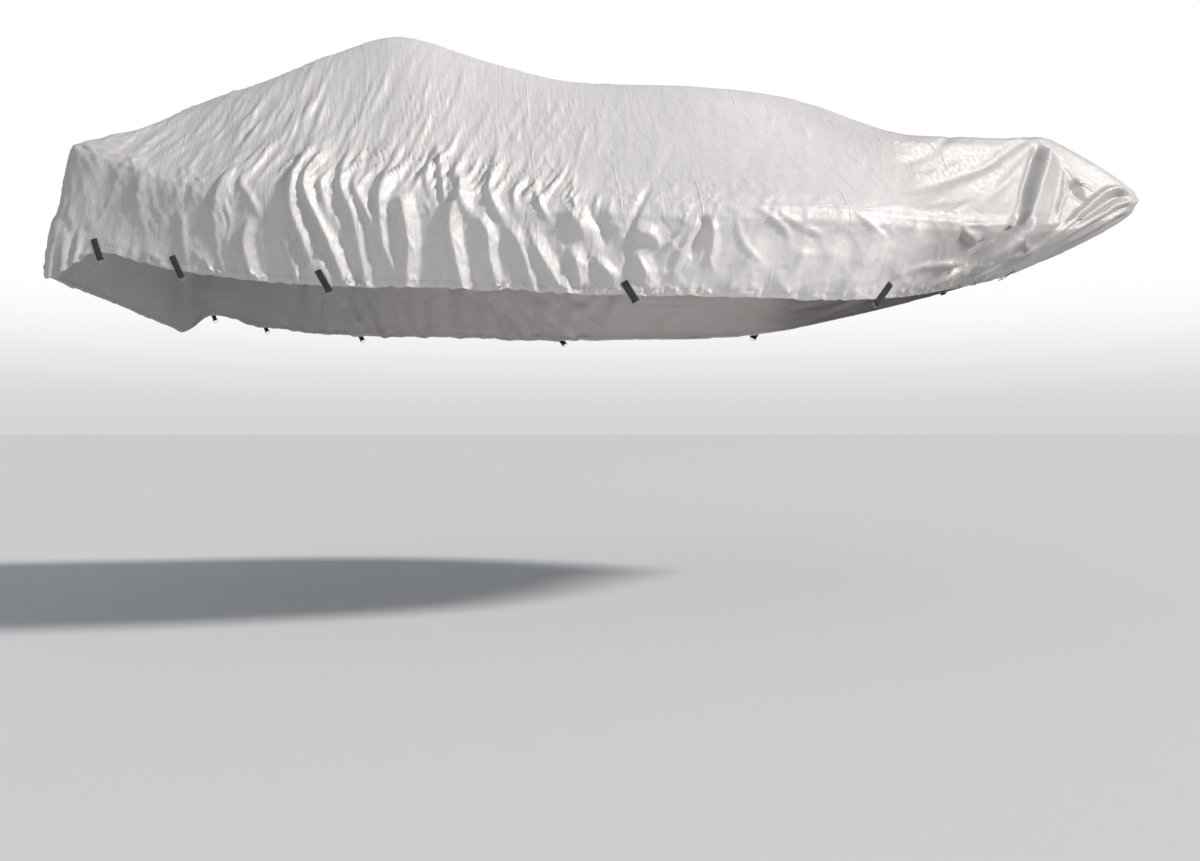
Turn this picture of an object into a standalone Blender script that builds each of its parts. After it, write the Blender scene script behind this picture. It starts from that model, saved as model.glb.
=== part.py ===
"""Fitted boat cover, hollow and held up from inside, with webbing tabs and D-rings along its elastic hem.

Metres, +Z up, +X towards the bow, +Y to port. The origin is on the cover's underside, under its peak.
"""

import math
from collections import namedtuple

import bpy
from mathutils import Matrix, Vector
from mathutils.bvhtree import BVHTree

# Driving dimensions.
CLOTH_THICKNESS = 0.0025     # coated cloth with its seams and coating
PEAK_OVER_GUNWALE = 0.82     # outside of the cloth at the peak
CORNER_SOFTNESS = 0.12       # share of a bay over which the cloth rounds an edge
PORT_FOLD_SHARE = 0.7        # the port side's folds against the starboard side's
PORT_FOLD_SHIFT = 0.05       # and how far further forward they stand

WEB_THICKNESS = 0.0016       # webbing of the tabs
WEB_CLEARANCE = 0.0020       # middle of the webbing above the highest cloth it is sewn to
RAY_START = 0.12             # how far outside the ribs a ray that looks for the cloth starts
RAYS_DOWN = 28               # rays that feel for the cloth under a tab and its ring, along it
RAYS_ACROSS = 5              # and to each side of its middle, as far as the ring reaches
TAB_BELOW_HEM = 0.024        # from the hem to the middle of the ring's bar, under a tab that doesn't lean
LOOP_RADIUS = 0.0042         # middle of the webbing around the ring's bar
LOOP_RETURN = 0.004          # how far the webbing comes back up behind

RING_WIRE = 0.0019           # radius of the ring's wire
RING_PLAY = 0.002            # how much longer the ring's bar is inside than the webbing is wide
RING_DROP = 0.017            # from the bar to the bottom of the bow
RING_STEPS = 10              # sides of the bow

TAIL_WIDTH = 0.006           # the loose tails
TAIL_THICKNESS = 0.0012
TAIL_STEPS = 8
TAIL_WAVE = 0.004            # how far a tail swings out of line
TAIL_DROOP = 0.006           # and how far its end hangs
TAIL_INSET = 0.004           # from the loop's end and edge to the tail

# The ribs: lines over which the cloth is stretched, each with its hem, gunwale, shoulder and ridge point.
# A point is (x, half breadth, height over the gunwale amidships), and x counts from the peak.
# belly pushes the drop below the gunwale out, and sag lets the slope above it hang in.
Rib = namedtuple("Rib", "hem gunwale shoulder ridge belly sag")
RIBS = (
    Rib((-1.290, 0.00, -0.350), (-1.215, 0.00, 0.080), (-1.130, 0.00, 0.125), (-1.000, 0, 0.205), 0.015, 0.000),
    Rib((-1.300, 0.50, -0.350), (-1.215, 0.50, 0.090), (-1.130, 0.48, 0.135), (-0.990, 0, 0.212), 0.015, 0.000),
    Rib((-1.290, 0.90, -0.350), (-1.200, 0.89, 0.115), (-1.110, 0.83, 0.160), (-0.980, 0, 0.220), 0.010, 0.000),
    Rib((-1.250, 0.99, -0.345), (-1.170, 0.98, 0.120), (-1.060, 0.91, 0.185), (-0.955, 0, 0.240), 0.000, 0.005),
    Rib((-1.090, 1.02, -0.280), (-1.020, 1.00, 0.070), (-0.950, 0.88, 0.240), (-0.900, 0, 0.285), -0.010, 0.015),
    Rib((-0.820, 1.03, -0.335), (-0.800, 1.03, -0.010), (-0.767, 0.80, 0.375), (-0.750, 0, 0.410), 0.000, 0.020),
    Rib((-0.500, 1.03, -0.370), (-0.500, 1.05, 0.000), (-0.500, 0.73, 0.515), (-0.500, 0, 0.560), 0.010, 0.025),
    Rib((-0.200, 1.03, -0.380), (-0.200, 1.05, 0.000), (-0.250, 0.64, 0.675), (-0.250, 0, 0.720), 0.010, 0.025),
    Rib((0.050, 1.03, -0.380), (0.050, 1.05, -0.015), (0.000, 0.60, 0.770), (0.000, 0, 0.820), 0.010, 0.025),
    Rib((0.350, 1.03, -0.380), (0.350, 1.05, -0.030), (0.350, 0.58, 0.700), (0.350, 0, 0.750), 0.010, 0.025),
    Rib((0.750, 1.03, -0.390), (0.750, 1.05, -0.030), (0.740, 0.57, 0.635), (0.740, 0, 0.690), 0.010, 0.020),
    Rib((1.350, 0.99, -0.380), (1.400, 1.03, -0.015), (1.340, 0.55, 0.650), (1.340, 0, 0.700), 0.010, 0.020),
    Rib((1.850, 0.90, -0.370), (1.900, 0.96, 0.000), (1.800, 0.50, 0.635), (1.800, 0, 0.670), 0.010, 0.020),
    Rib((2.200, 0.79, -0.335), (2.300, 0.86, 0.000), (2.250, 0.60, 0.480), (2.200, 0, 0.510), 0.010, 0.020),
    Rib((2.520, 0.63, -0.270), (2.700, 0.72, 0.020), (2.650, 0.47, 0.515), (2.600, 0, 0.450), 0.010, 0.020),
    Rib((2.820, 0.45, -0.200), (3.100, 0.54, 0.070), (3.000, 0.32, 0.565), (2.950, 0, 0.510), 0.015, 0.020),
    Rib((3.070, 0.25, -0.130), (3.450, 0.34, 0.150), (3.250, 0.20, 0.615), (3.200, 0, 0.580), 0.025, 0.015),
    Rib((3.210, 0.11, -0.075), (3.770, 0.16, 0.250), (3.370, 0.12, 0.632), (3.320, 0, 0.615), 0.040, -0.015),
    Rib((3.275, 0.04, -0.042), (3.980, 0.07, 0.325), (3.435, 0.05, 0.643), (3.360, 0, 0.640), 0.048, -0.045),
    Rib((3.290, 0.00, -0.034), (4.040, 0.00, 0.350), (3.450, 0.00, 0.645), (3.370, 0, 0.645), 0.050, -0.055),
)

# Main folds of the side. Places are the gunwale's x; a fold runs from foot at the hem, over at on the
# gunwale, to head on the shoulder, and shows between low and high (0 hem, 1 gunwale, 2 shoulder). width is
# its half width, and a negative height is a trough.
Fold = namedtuple("Fold", "foot at head low high width height")
FOLDS = (
    Fold(-0.63, -0.64, -0.50, 0.15, 1.30, 0.050, 0.020),
    Fold(-0.48, -0.54, -0.35, -0.20, 1.35, 0.060, 0.024),
    Fold(-0.28, -0.39, 0.00, -0.20, 1.55, 0.060, 0.032),
    Fold(-0.19, -0.30, 0.05, -0.20, 1.50, 0.055, 0.028),
    Fold(-0.15, -0.20, -0.05, 0.10, 1.40, 0.050, 0.020),
    Fold(-0.03, -0.11, 0.20, -0.20, 1.40, 0.055, 0.022),
    Fold(0.06, -0.01, 0.30, -0.20, 1.25, 0.065, 0.026),
    Fold(0.24, 0.17, 0.45, -0.20, 1.45, 0.070, 0.032),
    Fold(0.36, 0.27, 0.50, -0.10, 1.40, 0.055, 0.024),
    Fold(0.50, 0.38, 0.62, -0.20, 1.30, 0.065, 0.028),
    Fold(0.60, 0.51, 0.60, -0.20, 1.00, 0.070, 0.020),
    Fold(0.92, 0.62, 0.60, -0.20, 0.60, 0.060, 0.032),
    Fold(0.78, 0.77, 0.80, -0.20, 1.00, 0.075, 0.026),
    Fold(0.90, 0.93, 1.25, -0.20, 1.45, 0.050, -0.024),
    Fold(1.01, 1.04, 1.10, 0.20, 1.00, 0.080, 0.028),
    Fold(1.06, 1.21, 1.30, 0.20, 1.15, 0.060, -0.026),
    Fold(1.22, 1.42, 1.60, -0.20, 1.20, 0.120, 0.018),
    Fold(1.50, 1.72, 1.90, -0.20, 1.20, 0.130, 0.018),
    Fold(1.78, 2.02, 2.20, -0.20, 1.30, 0.130, 0.018),
    Fold(2.30, 2.48, 2.90, -0.20, 1.60, 0.120, 0.018),
    Fold(3.02, 3.10, 3.86, -0.10, 2.00, 0.110, -0.040),
    Fold(3.62, 3.74, 3.90, 1.30, 1.95, 0.130, -0.030),
    Fold(3.58, 3.98, 4.00, 0.05, 1.05, 0.090, 0.022),
)

# Where the columns and rows of the loft stand: (from x, to x, spacing) along the gunwale, and bays.
COLUMN_ZONES = (
    (-1.02, -0.72, 0.060),
    (-0.72, 0.68, 0.043),
    (0.68, 1.30, 0.050),
    (1.30, 2.30, 0.098),
    (2.30, 4.02, 0.105),
)
TRANSOM_COLUMNS = 8
CORNER_COLUMNS = 4
ROWS = (0.0, 0.2, 0.42, 0.64, 0.85, 1.0, 1.15, 1.35, 1.6, 1.84, 2.05, 2.3, 2.62, 3.0)

# The tabs of one side: where on the gunwale's x, how far its top leans forward of its foot, its length from
# top to hem, the webbing's width, and how long the loose tail of the starboard one is.
Tab = namedtuple("Tab", "x lean length width tail")
TABS = (
    Tab(-1.02, -0.022, 0.050, 0.022, None),
    Tab(-0.79, -0.022, 0.052, 0.022, None),
    Tab(-0.28, -0.026, 0.056, 0.025, 0.045),
    Tab(0.91, -0.034, 0.056, 0.030, None),
    Tab(2.17, 0.038, 0.075, 0.036, 0.110),
    Tab(3.35, -0.010, 0.045, 0.025, 0.060),
)

SILVER = (0.62, 0.61, 0.62, 1.0)
BLACK_WEB = (0.025, 0.024, 0.026, 1.0)
STEEL = (0.55, 0.54, 0.52, 1.0)


def clear_scene():
    for thing in list(bpy.data.objects):
        bpy.data.objects.remove(thing, do_unlink=True)


def make_material(name, colour, roughness, metallic=0.0):
    material = bpy.data.materials.new(name)
    material.use_nodes = True
    shader = material.node_tree.nodes["Principled BSDF"]
    shader.inputs["Base Color"].default_value = colour
    shader.inputs["Roughness"].default_value = roughness
    shader.inputs["Metallic"].default_value = metallic
    return material


# The surface.

def place(point, side):
    """A rib's (x, half breadth, height) as a point of the model; side is -1 to starboard and 1 to port."""
    x, breadth, height = point
    return Vector((x, side * breadth, height - PEAK_OVER_GUNWALE + CLOTH_THICKNESS))


def rib_loop():
    """The ribs once around the cover, from the middle of the transom over starboard and back over port."""
    port = RIBS[-2:0:-1]
    loop = [tuple(place(p, -1) for p in rib[:4]) + (rib.belly, rib.sag) for rib in RIBS]
    loop += [tuple(place(p, 1) for p in rib[:4]) + (rib.belly, rib.sag) for rib in port]
    return loop


def loop_lengths(loop):
    """How far each rib stands around the gunwale, and the whole way round."""
    reached = [0.0]
    for here, after in zip(loop, loop[1:] + loop[:1]):
        reached.append(reached[-1] + (after[1] - here[1]).length)
    return reached[:-1], reached[-1]


LOOP = rib_loop()
REACH, GIRTH = loop_lengths(LOOP)
HALF_WAY = GIRTH / 2


def reach_at(x):
    """How far around the starboard gunwale a place with this x is."""
    xs = [rib.gunwale[0] for rib in RIBS]
    for k in range(3, len(RIBS) - 1):
        if x <= xs[k + 1] or k == len(RIBS) - 2:
            share = (x - xs[k]) / (xs[k + 1] - xs[k])
            return REACH[k] + share * (REACH[k + 1] - REACH[k])


def blend_ribs(reach):
    """The rib at any reach, smooth from rib to rib."""
    reach %= GIRTH
    count = len(LOOP)
    k = max(i for i in range(count) if REACH[i] <= reach + 1e-9)

    def reach_of(i):
        return REACH[i % count] + GIRTH * (i // count)

    start, end = reach_of(k), reach_of(k + 1)
    span = end - start
    t = (reach - start) / span
    before_gap, after_gap = end - reach_of(k - 1), reach_of(k + 2) - start
    parts = []
    for here, after, before, beyond in zip(LOOP[k], LOOP[(k + 1) % count], LOOP[k - 1], LOOP[(k + 2) % count]):
        leave = (after - before) * (span / before_gap)
        arrive = (beyond - here) * (span / after_gap)
        gap = after - here
        parts.append(here + t * leave + t * t * (3 * gap - 2 * leave - arrive) + t ** 3 * (leave + arrive - 2 * gap))
    return parts


def bay_point(rib, bay):
    """A point on the straight-edged section: 0 hem, 1 gunwale, 2 shoulder, 3 ridge, and past it the far side."""
    hem, gunwale, shoulder, ridge, belly, sag = rib
    if bay > 3:
        mirrored = bay_point(rib, 6 - bay)
        return Vector((mirrored.x, 2 * ridge.y - mirrored.y, mirrored.z))
    outward = Vector((gunwale.x - ridge.x, gunwale.y - ridge.y, 0)).normalized()
    corners = (hem, gunwale, shoulder, ridge)
    k = min(int(bay), 2)
    t = bay - k
    edge = corners[k + 1] - corners[k]
    point = corners[k] + t * edge
    swell = (belly, -sag, 0.0)[k] * 4 * t * (1 - t)
    square = outward - edge * (outward.dot(edge) / edge.length_squared)
    if swell and square.length > 1e-6:
        point += square.normalized() * swell
    return point


def base_point(reach, bay):
    rib = blend_ribs(reach)
    soft = min(CORNER_SOFTNESS, bay)
    return (bay_point(rib, bay - soft) + 2 * bay_point(rib, bay) + bay_point(rib, bay + soft)) / 4


def outward_normal(reach, bay):
    step = 0.004
    around = base_point(reach + step, bay) - base_point(reach - step, bay)
    low, high = max(bay - step, 0), min(bay + step, 3)
    up = base_point(reach, high) - base_point(reach, low)
    return around.cross(up).normalized()


def smooth_step(value):
    value = min(max(value, 0.0), 1.0)
    return value * value * (3 - 2 * value)


def fold_height(reach, bay):
    """How far the main folds lift the cloth here."""
    share, shift = 1.0, 0.0
    if reach > HALF_WAY:
        reach, share, shift = GIRTH - reach, PORT_FOLD_SHARE, PORT_FOLD_SHIFT
    lift = 0.0
    for fold in FOLDS:
        if not fold.low < bay < fold.high:
            continue
        foot, at, head = (reach_at(min(x, 4.0)) for x in (fold.foot, fold.at, fold.head))
        middle = foot + bay * (at - foot) if bay < 1 else at + (bay - 1) * (head - at)
        away = abs(reach - middle - shift) / fold.width
        fade = smooth_step((fold.high - bay) / 0.35) * smooth_step((bay - fold.low) / 0.2)
        if away < 1:
            lift += fold.height * share * fade * (0.5 + 0.5 * math.cos(math.pi * away))
    return lift


def cloth_point(reach, bay):
    point = base_point(reach, bay)
    if 0 <= bay < 2.1:
        point += outward_normal(reach, bay) * fold_height(reach, bay)
    return point


# The cloth.

def column_reaches():
    """Places of the loft's columns once around, closer together where the folds are close."""
    corner = [REACH[2] + k * (REACH[4] - REACH[2]) / CORNER_COLUMNS for k in range(CORNER_COLUMNS)]
    half = [k * REACH[2] / TRANSOM_COLUMNS for k in range(TRANSOM_COLUMNS)] + corner
    for start, end, spacing in COLUMN_ZONES:
        first, last = reach_at(start), reach_at(end)
        count = round((last - first) / spacing)
        half += [first + k * (last - first) / count for k in range(count)]
    return half + [HALF_WAY] + [GIRTH - reach for reach in half[:0:-1]]


def make_cloth(material):
    """The cover's cloth: a loft over the ribs from the hem to the ridge, thickened inwards."""
    columns = column_reaches()
    count = len(columns)
    verts, index = [], {}
    for c, reach in enumerate(columns):
        for r, bay in enumerate(ROWS):
            twin = (count - c) % count
            if bay == 3 and (twin, r) in index:
                index[c, r] = index[twin, r]
                continue
            index[c, r] = len(verts)
            verts.append(cloth_point(reach, bay))
    faces = []
    for c in range(count):
        after = (c + 1) % count
        for r in range(len(ROWS) - 1):
            ring = [index[c, r], index[after, r], index[after, r + 1], index[c, r + 1]]
            faces.append([v for n, v in enumerate(ring) if v not in ring[:n]])
    mesh = bpy.data.meshes.new("cover_cloth")
    mesh.from_pydata(verts, [], faces)
    mesh.shade_smooth()
    cloth = bpy.data.objects.new("cover_cloth", mesh)
    mesh.materials.append(material)
    shell = cloth.modifiers.new("thickness", "SOLIDIFY")
    shell.thickness = CLOTH_THICKNESS
    shell.offset = -1
    shell.use_rim = True
    return cloth


# The tabs, their rings and tails.

def on_cloth(surface, reach, bay):
    """The point and outward direction on the finished cloth over a place on the ribs."""
    normal = outward_normal(reach, bay)
    start = base_point(reach, bay) + normal * RAY_START
    point, _, _, _ = surface.ray_cast(start, -normal)
    return point, normal


def hang(tab):
    """How far below the hem a tab's ring hangs, so that a leaning tab clears the hem with its whole width."""
    return TAB_BELOW_HEM + tab.width / 2 * abs(tab.lean) / tab.length


def tab_frame(surface, tab, side):
    """Where a tab lies: x down along the webbing from the hem, y out of the cloth and z along the hem."""
    reach = reach_at(tab.x)
    height = (base_point(reach, 1) - base_point(reach, 0)).length
    foot_at = reach - tab.lean / 2
    top_at = reach + tab.lean / 2
    if side > 0:
        foot_at, top_at = GIRTH - foot_at, GIRTH - top_at
    foot, normal = on_cloth(surface, foot_at, 0.02)
    top, _ = on_cloth(surface, top_at, tab.length / height)
    down = (foot - top).normalized()
    along = down.cross(normal).normalized()
    out = along.cross(down)
    half = tab.width / 2 + RING_PLAY + 2 * RING_WIRE
    highest, bar = 0.0, hang(tab)
    lowest = bar + RING_DROP
    for step in range(RAYS_DOWN + 1):
        for across in range(-RAYS_ACROSS, RAYS_ACROSS + 1):
            below = lowest - (lowest + tab.length) * step / RAYS_DOWN
            behind = LOOP_RADIUS + RING_WIRE if below > bar - 2 * LOOP_RADIUS else 0.0
            start = foot + down * below + out * RAY_START
            start += along * (across * half / RAYS_ACROSS)
            hit, _, _, _ = surface.ray_cast(start, -out, 2 * RAY_START)
            if hit:
                highest = max(highest, (hit - foot).dot(out) + behind)
    rows = Matrix((down, out, along)).transposed().to_4x4()
    return Matrix.Translation(foot + out * (highest + WEB_CLEARANCE)) @ rows


def ribbon(name, points, width, thickness, material):
    """A flat strip along a line of points in its own xy plane, as wide as width along its z."""
    line = bpy.data.curves.new(name, "CURVE")
    line.dimensions = "2D"
    line.fill_mode = "NONE"
    line.extrude = width / 2
    spline = line.splines.new("POLY")
    spline.points.add(len(points) - 1)
    for target, (x, y) in zip(spline.points, points):
        target.co = (x, y, 0, 1)
    line.materials.append(material)
    strip = bpy.data.objects.new(name, line)
    body = strip.modifiers.new("thickness", "SOLIDIFY")
    body.thickness = thickness
    body.offset = 0
    return strip


def web_line(length, bar):
    """The webbing seen from the hem's end: down over the hem, round the ring's bar and back up behind."""
    turn = [math.pi / 2 - k * math.pi / 6 for k in range(7)]
    line = [(-length, 0), (-length / 2, 0), (0, 0)]
    line += [(bar + LOOP_RADIUS * math.cos(a), LOOP_RADIUS * (math.sin(a) - 1)) for a in turn]
    line.append((bar - LOOP_RETURN, -2 * LOOP_RADIUS))
    return line


def ring_line(inside):
    """The D-ring's wire: the straight bar, and the bow below it."""
    half = inside / 2 + RING_WIRE
    bow = [math.pi * k / RING_STEPS for k in range(RING_STEPS + 1)]
    return [(RING_DROP * math.sin(a), half * math.cos(a)) for a in bow]


def make_ring(name, inside, material):
    wire = bpy.data.curves.new(name, "CURVE")
    wire.dimensions = "3D"
    wire.bevel_depth = RING_WIRE
    wire.bevel_resolution = 2
    spline = wire.splines.new("POLY")
    points = ring_line(inside)
    spline.points.add(len(points) - 1)
    for target, (down, across) in zip(spline.points, points):
        target.co = (down, 0, across, 1)
    spline.use_cyclic_u = True
    wire.materials.append(material)
    return bpy.data.objects.new(name, wire)


def tail_line(length):
    """A loose end that leaves the loop behind the bar and runs along the hem with a slight wave."""
    shares = [k / TAIL_STEPS for k in range(TAIL_STEPS + 1)]
    return [(TAIL_WAVE * math.sin(2.6 * share) + TAIL_DROOP * share, -length * share) for share in shares]


def make_tab(surface, tab, number, side, web, steel):
    side_name = "port" if side > 0 else "starboard"
    frame, bar = tab_frame(surface, tab, side), hang(tab)
    strap = ribbon(f"tab_{side_name}_{number}", web_line(tab.length, bar), tab.width, WEB_THICKNESS, web)
    strap.matrix_world = frame
    ring = make_ring(f"ring_{side_name}_{number}", tab.width + RING_PLAY, steel)
    ring.matrix_world = frame @ Matrix.Translation((bar, -LOOP_RADIUS, 0))
    pieces = [strap, ring]
    if tab.tail and side < 0:
        tail = ribbon(f"tail_{side_name}_{number}", tail_line(tab.tail), TAIL_WIDTH, TAIL_THICKNESS, web)
        on_its_edge = Matrix(((1, 0, 0, 0), (0, 0, 1, 0), (0, -1, 0, 0), (0, 0, 0, 1)))
        behind = -2 * LOOP_RADIUS - 1.5 * TAIL_INSET
        start = Matrix.Translation((bar - TAIL_INSET, behind, TAIL_INSET - tab.width / 2))
        tail.matrix_world = frame @ start @ on_its_edge
        pieces.append(tail)
    return pieces


def main():
    clear_scene()
    parts = bpy.data.collections.new("boat_cover")
    bpy.context.scene.collection.children.link(parts)
    silver = make_material("silver_cloth", SILVER, 0.45)
    web = make_material("black_webbing", BLACK_WEB, 0.8)
    steel = make_material("ring_steel", STEEL, 0.3, 1.0)

    cloth = make_cloth(silver)
    parts.objects.link(cloth)
    bpy.context.view_layer.update()
    surface = BVHTree.FromObject(cloth, bpy.context.evaluated_depsgraph_get())
    for side in (-1, 1):
        for number, tab in enumerate(TABS, 1):
            for piece in make_tab(surface, tab, number, side, web, steel):
                parts.objects.link(piece)
    bpy.context.view_layer.update()


main()
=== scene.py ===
"""Fitted boat cover: one draped silver cloth with its elastic hem, webbing tabs, D-rings and loose tails."""

import math
import random
from collections import namedtuple

import bpy
import numpy as np
from bpy.props import FloatProperty, FloatVectorProperty, IntProperty, PointerProperty
from mathutils import Matrix, Vector, noise
from mathutils.bvhtree import BVHTree


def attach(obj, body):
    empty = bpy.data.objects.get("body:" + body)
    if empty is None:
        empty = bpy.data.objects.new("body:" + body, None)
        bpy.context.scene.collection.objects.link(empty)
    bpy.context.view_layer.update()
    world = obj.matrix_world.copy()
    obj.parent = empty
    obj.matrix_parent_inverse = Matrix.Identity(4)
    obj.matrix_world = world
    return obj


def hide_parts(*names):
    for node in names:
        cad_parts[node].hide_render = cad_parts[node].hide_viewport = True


bl_info = {
    "name": "Fitted boat cover",
    "version": (1, 0, 0),
    "blender": (4, 5, 0),
    "location": "3D View > Sidebar > Boat cover",
    "description": "Makes a fitted boat cover of silver cloth with its tabs, rings and tails",
    "category": "Object",
}

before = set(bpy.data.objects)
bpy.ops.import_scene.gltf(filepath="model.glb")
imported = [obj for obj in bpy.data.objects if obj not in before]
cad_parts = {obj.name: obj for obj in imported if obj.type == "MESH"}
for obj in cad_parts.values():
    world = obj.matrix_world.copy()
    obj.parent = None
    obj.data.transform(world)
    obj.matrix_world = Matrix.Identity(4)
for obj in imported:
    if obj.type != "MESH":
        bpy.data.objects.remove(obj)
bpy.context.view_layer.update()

# The ribs that the cloth is stretched over, each with its hem, gunwale, shoulder and ridge point as
# (x, half breadth, height over the gunwale). belly pushes the drop out, and sag lets the slope hang in.
PEAK_TO_ORIGIN = 0.8175      # the frame's origin over the gunwale amidships
CORNER_SOFTNESS = 0.12       # share of a bay over which the cloth rounds an edge
Rib = namedtuple("Rib", "hem gunwale shoulder ridge belly sag")
RIBS = (
    Rib((-1.29, 0, -0.35), (-1.215, 0, 0.08), (-1.13, 0, 0.125), (-1, 0, 0.205), 0.015, 0),
    Rib((-1.3, 0.5, -0.35), (-1.215, 0.5, 0.09), (-1.13, 0.48, 0.135), (-0.99, 0, 0.212), 0.015, 0),
    Rib((-1.29, 0.9, -0.35), (-1.2, 0.89, 0.115), (-1.11, 0.83, 0.16), (-0.98, 0, 0.22), 0.01, 0),
    Rib((-1.25, 0.99, -0.345), (-1.17, 0.98, 0.12), (-1.06, 0.91, 0.185), (-0.955, 0, 0.24), 0, 0.005),
    Rib((-1.09, 1.02, -0.28), (-1.02, 1, 0.07), (-0.95, 0.88, 0.24), (-0.9, 0, 0.285), -0.01, 0.015),
    Rib((-0.82, 1.03, -0.335), (-0.8, 1.03, -0.01), (-0.767, 0.8, 0.375), (-0.75, 0, 0.41), 0, 0.02),
    Rib((-0.5, 1.03, -0.37), (-0.5, 1.05, 0), (-0.5, 0.73, 0.515), (-0.5, 0, 0.56), 0.01, 0.025),
    Rib((-0.2, 1.03, -0.38), (-0.2, 1.05, 0), (-0.25, 0.64, 0.675), (-0.25, 0, 0.72), 0.01, 0.025),
    Rib((0.05, 1.03, -0.38), (0.05, 1.05, -0.015), (0, 0.6, 0.77), (0, 0, 0.82), 0.01, 0.025),
    Rib((0.35, 1.03, -0.38), (0.35, 1.05, -0.03), (0.35, 0.58, 0.7), (0.35, 0, 0.75), 0.01, 0.025),
    Rib((0.75, 1.03, -0.39), (0.75, 1.05, -0.03), (0.74, 0.57, 0.635), (0.74, 0, 0.69), 0.01, 0.02),
    Rib((1.35, 0.99, -0.38), (1.4, 1.03, -0.015), (1.34, 0.55, 0.65), (1.34, 0, 0.7), 0.01, 0.02),
    Rib((1.85, 0.9, -0.37), (1.9, 0.96, 0), (1.8, 0.5, 0.635), (1.8, 0, 0.67), 0.01, 0.02),
    Rib((2.2, 0.79, -0.335), (2.3, 0.86, 0), (2.25, 0.6, 0.48), (2.2, 0, 0.51), 0.01, 0.02),
    Rib((2.52, 0.63, -0.27), (2.7, 0.72, 0.02), (2.65, 0.47, 0.515), (2.6, 0, 0.45), 0.01, 0.02),
    Rib((2.82, 0.45, -0.2), (3.1, 0.54, 0.07), (3, 0.32, 0.565), (2.95, 0, 0.51), 0.015, 0.02),
    Rib((3.07, 0.25, -0.13), (3.45, 0.34, 0.15), (3.25, 0.2, 0.615), (3.2, 0, 0.58), 0.025, 0.015),
    Rib((3.21, 0.11, -0.075), (3.77, 0.16, 0.25), (3.37, 0.12, 0.632), (3.32, 0, 0.615), 0.04, 0),
    Rib((3.275, 0.04, -0.042), (3.98, 0.07, 0.325), (3.435, 0.05, 0.643), (3.36, 0, 0.64), 0.048, -0.02),
    Rib((3.29, 0, -0.034), (4.04, 0, 0.35), (3.45, 0, 0.645), (3.37, 0, 0.645), 0.05, -0.026),
)

# Folds and creases, listed one by one. A point is (x on the gunwale, bay), with bays 0 hem, 1 gunwale, 2
# shoulder and 3 ridge. width is the half width, a negative height is a trough, and lean makes the after side
# steeper.
# fade is the share of its length over which the fold runs out at its first and last point.
Crease = namedtuple("Crease", "width height lean fade points")
PLEAT_PROFILE = 1.05         # nearly flat flanks for the listed folds
CREASE_PROFILE = 1.4         # softer feet for the small creases
NARROWEST = 0.008            # the least width of a fold's steep side
CREST_SHARE = 0.06           # how round a fold's crest is, as a share of its width
CREST_WIDTH = 0.003          # and the least in metres


def creases(rows):
    """Creases from rows of width and height in mm, lean, fade, and then x and bay by turns in hundredths."""
    made = []
    for width, height, lean, fade, *places in rows:
        points = tuple((x / 100, bay / 100) for x, bay in zip(places[::2], places[1::2]))
        made.append(Crease(width / 1000, height / 1000, lean, fade, points))
    return tuple(made)


SIDE_FOLDS = creases((
    (34, 22, 0.3, (0.3, 0.4), -57, 125, -62, 108, -65, 88, -66, 62, -64, 22),
    (20, 12, 0.2, (0.4, 0.3), -52, 118, -57, 100, -54, 84, -49, 58),
    (30, 21, 0.4, (0.3, 0.0), -53, 68, -56, 40, -54, 12, -51, -5),
    (40, 34, 0.4, (0.4, 0.2), -26, 148, -36, 114, -39, 96, -39, 72, -35, 42, -29, 2),
    (30, 20, 0.3, (0.3, 0.0), -43, 58, -40, 30, -36, -5),
    (34, 32, 0.4, (0.4, 0.0), -23, 144, -29, 118, -34, 100, -33, 82, -28, 55, -18, -5),
    (26, 16, 0.2, (0.4, 0.4), -21, 125, -28, 104, -28, 90, -25, 68, -18, 42),
    (32, 21, 0.3, (0.4, 0.0), -13, 136, -21, 102, -17, 72, -15, 46, -11, -5),
    (28, 19, 0.3, (0.4, 0.1), -11, 122, -16, 100, -14, 86, -9, 60, 1, 4),
    (36, 26, 0.3, (0.4, 0.3), 3, 122, -5, 104, -7, 90, -6, 62, -4, 30),
    (52, 30, 0.1, (0.2, 0.0), 0, 100, 3, 66, 4, 36, 3, -5),
    (26, 15, 0.3, (0.4, 0.4), 19, 140, 12, 112, 12, 100, 15, 84),
    (28, 19, 0.3, (0.3, 0.3), 16, 134, 17, 112, 18, 92, 21, 72),
    (42, 32, 0.3, (0.2, 0.0), 22, 118, 24, 100, 20, 82, 20, 56, 25, -5),
    (28, 18, 0.3, (0.4, 0.4), 31, 146, 21, 108, 23, 96, 28, 78, 33, 50),
    (36, 24, 0.2, (0.3, 0.0), 28, 88, 34, 62, 35, 34, 39, -5),
    (28, 20, 0.3, (0.4, 0.3), 42, 144, 36, 114, 35, 102, 38, 86, 44, 62),
    (36, 22, 0.3, (0.3, 0.0), 40, 76, 46, 52, 49, 30, 53, -5),
    (22, 13, 0.3, (0.3, 0.4), 54, 120, 54, 98, 61, 68),
    (46, 25, 0.2, (0.4, 0.0), 50, 80, 54, 42, 66, -2),
    (24, 13, 0.3, (0.4, 0.4), 60, 134, 45, 103, 49, 74),
    (24, 9, 0.0, (0.3, 0.0), -80, 74, -77, 50, -76, 10),
    (40, 8, 0.0, (0.4, 0.3), -99, 150, -93, 90, -90, 20),
))
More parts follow.
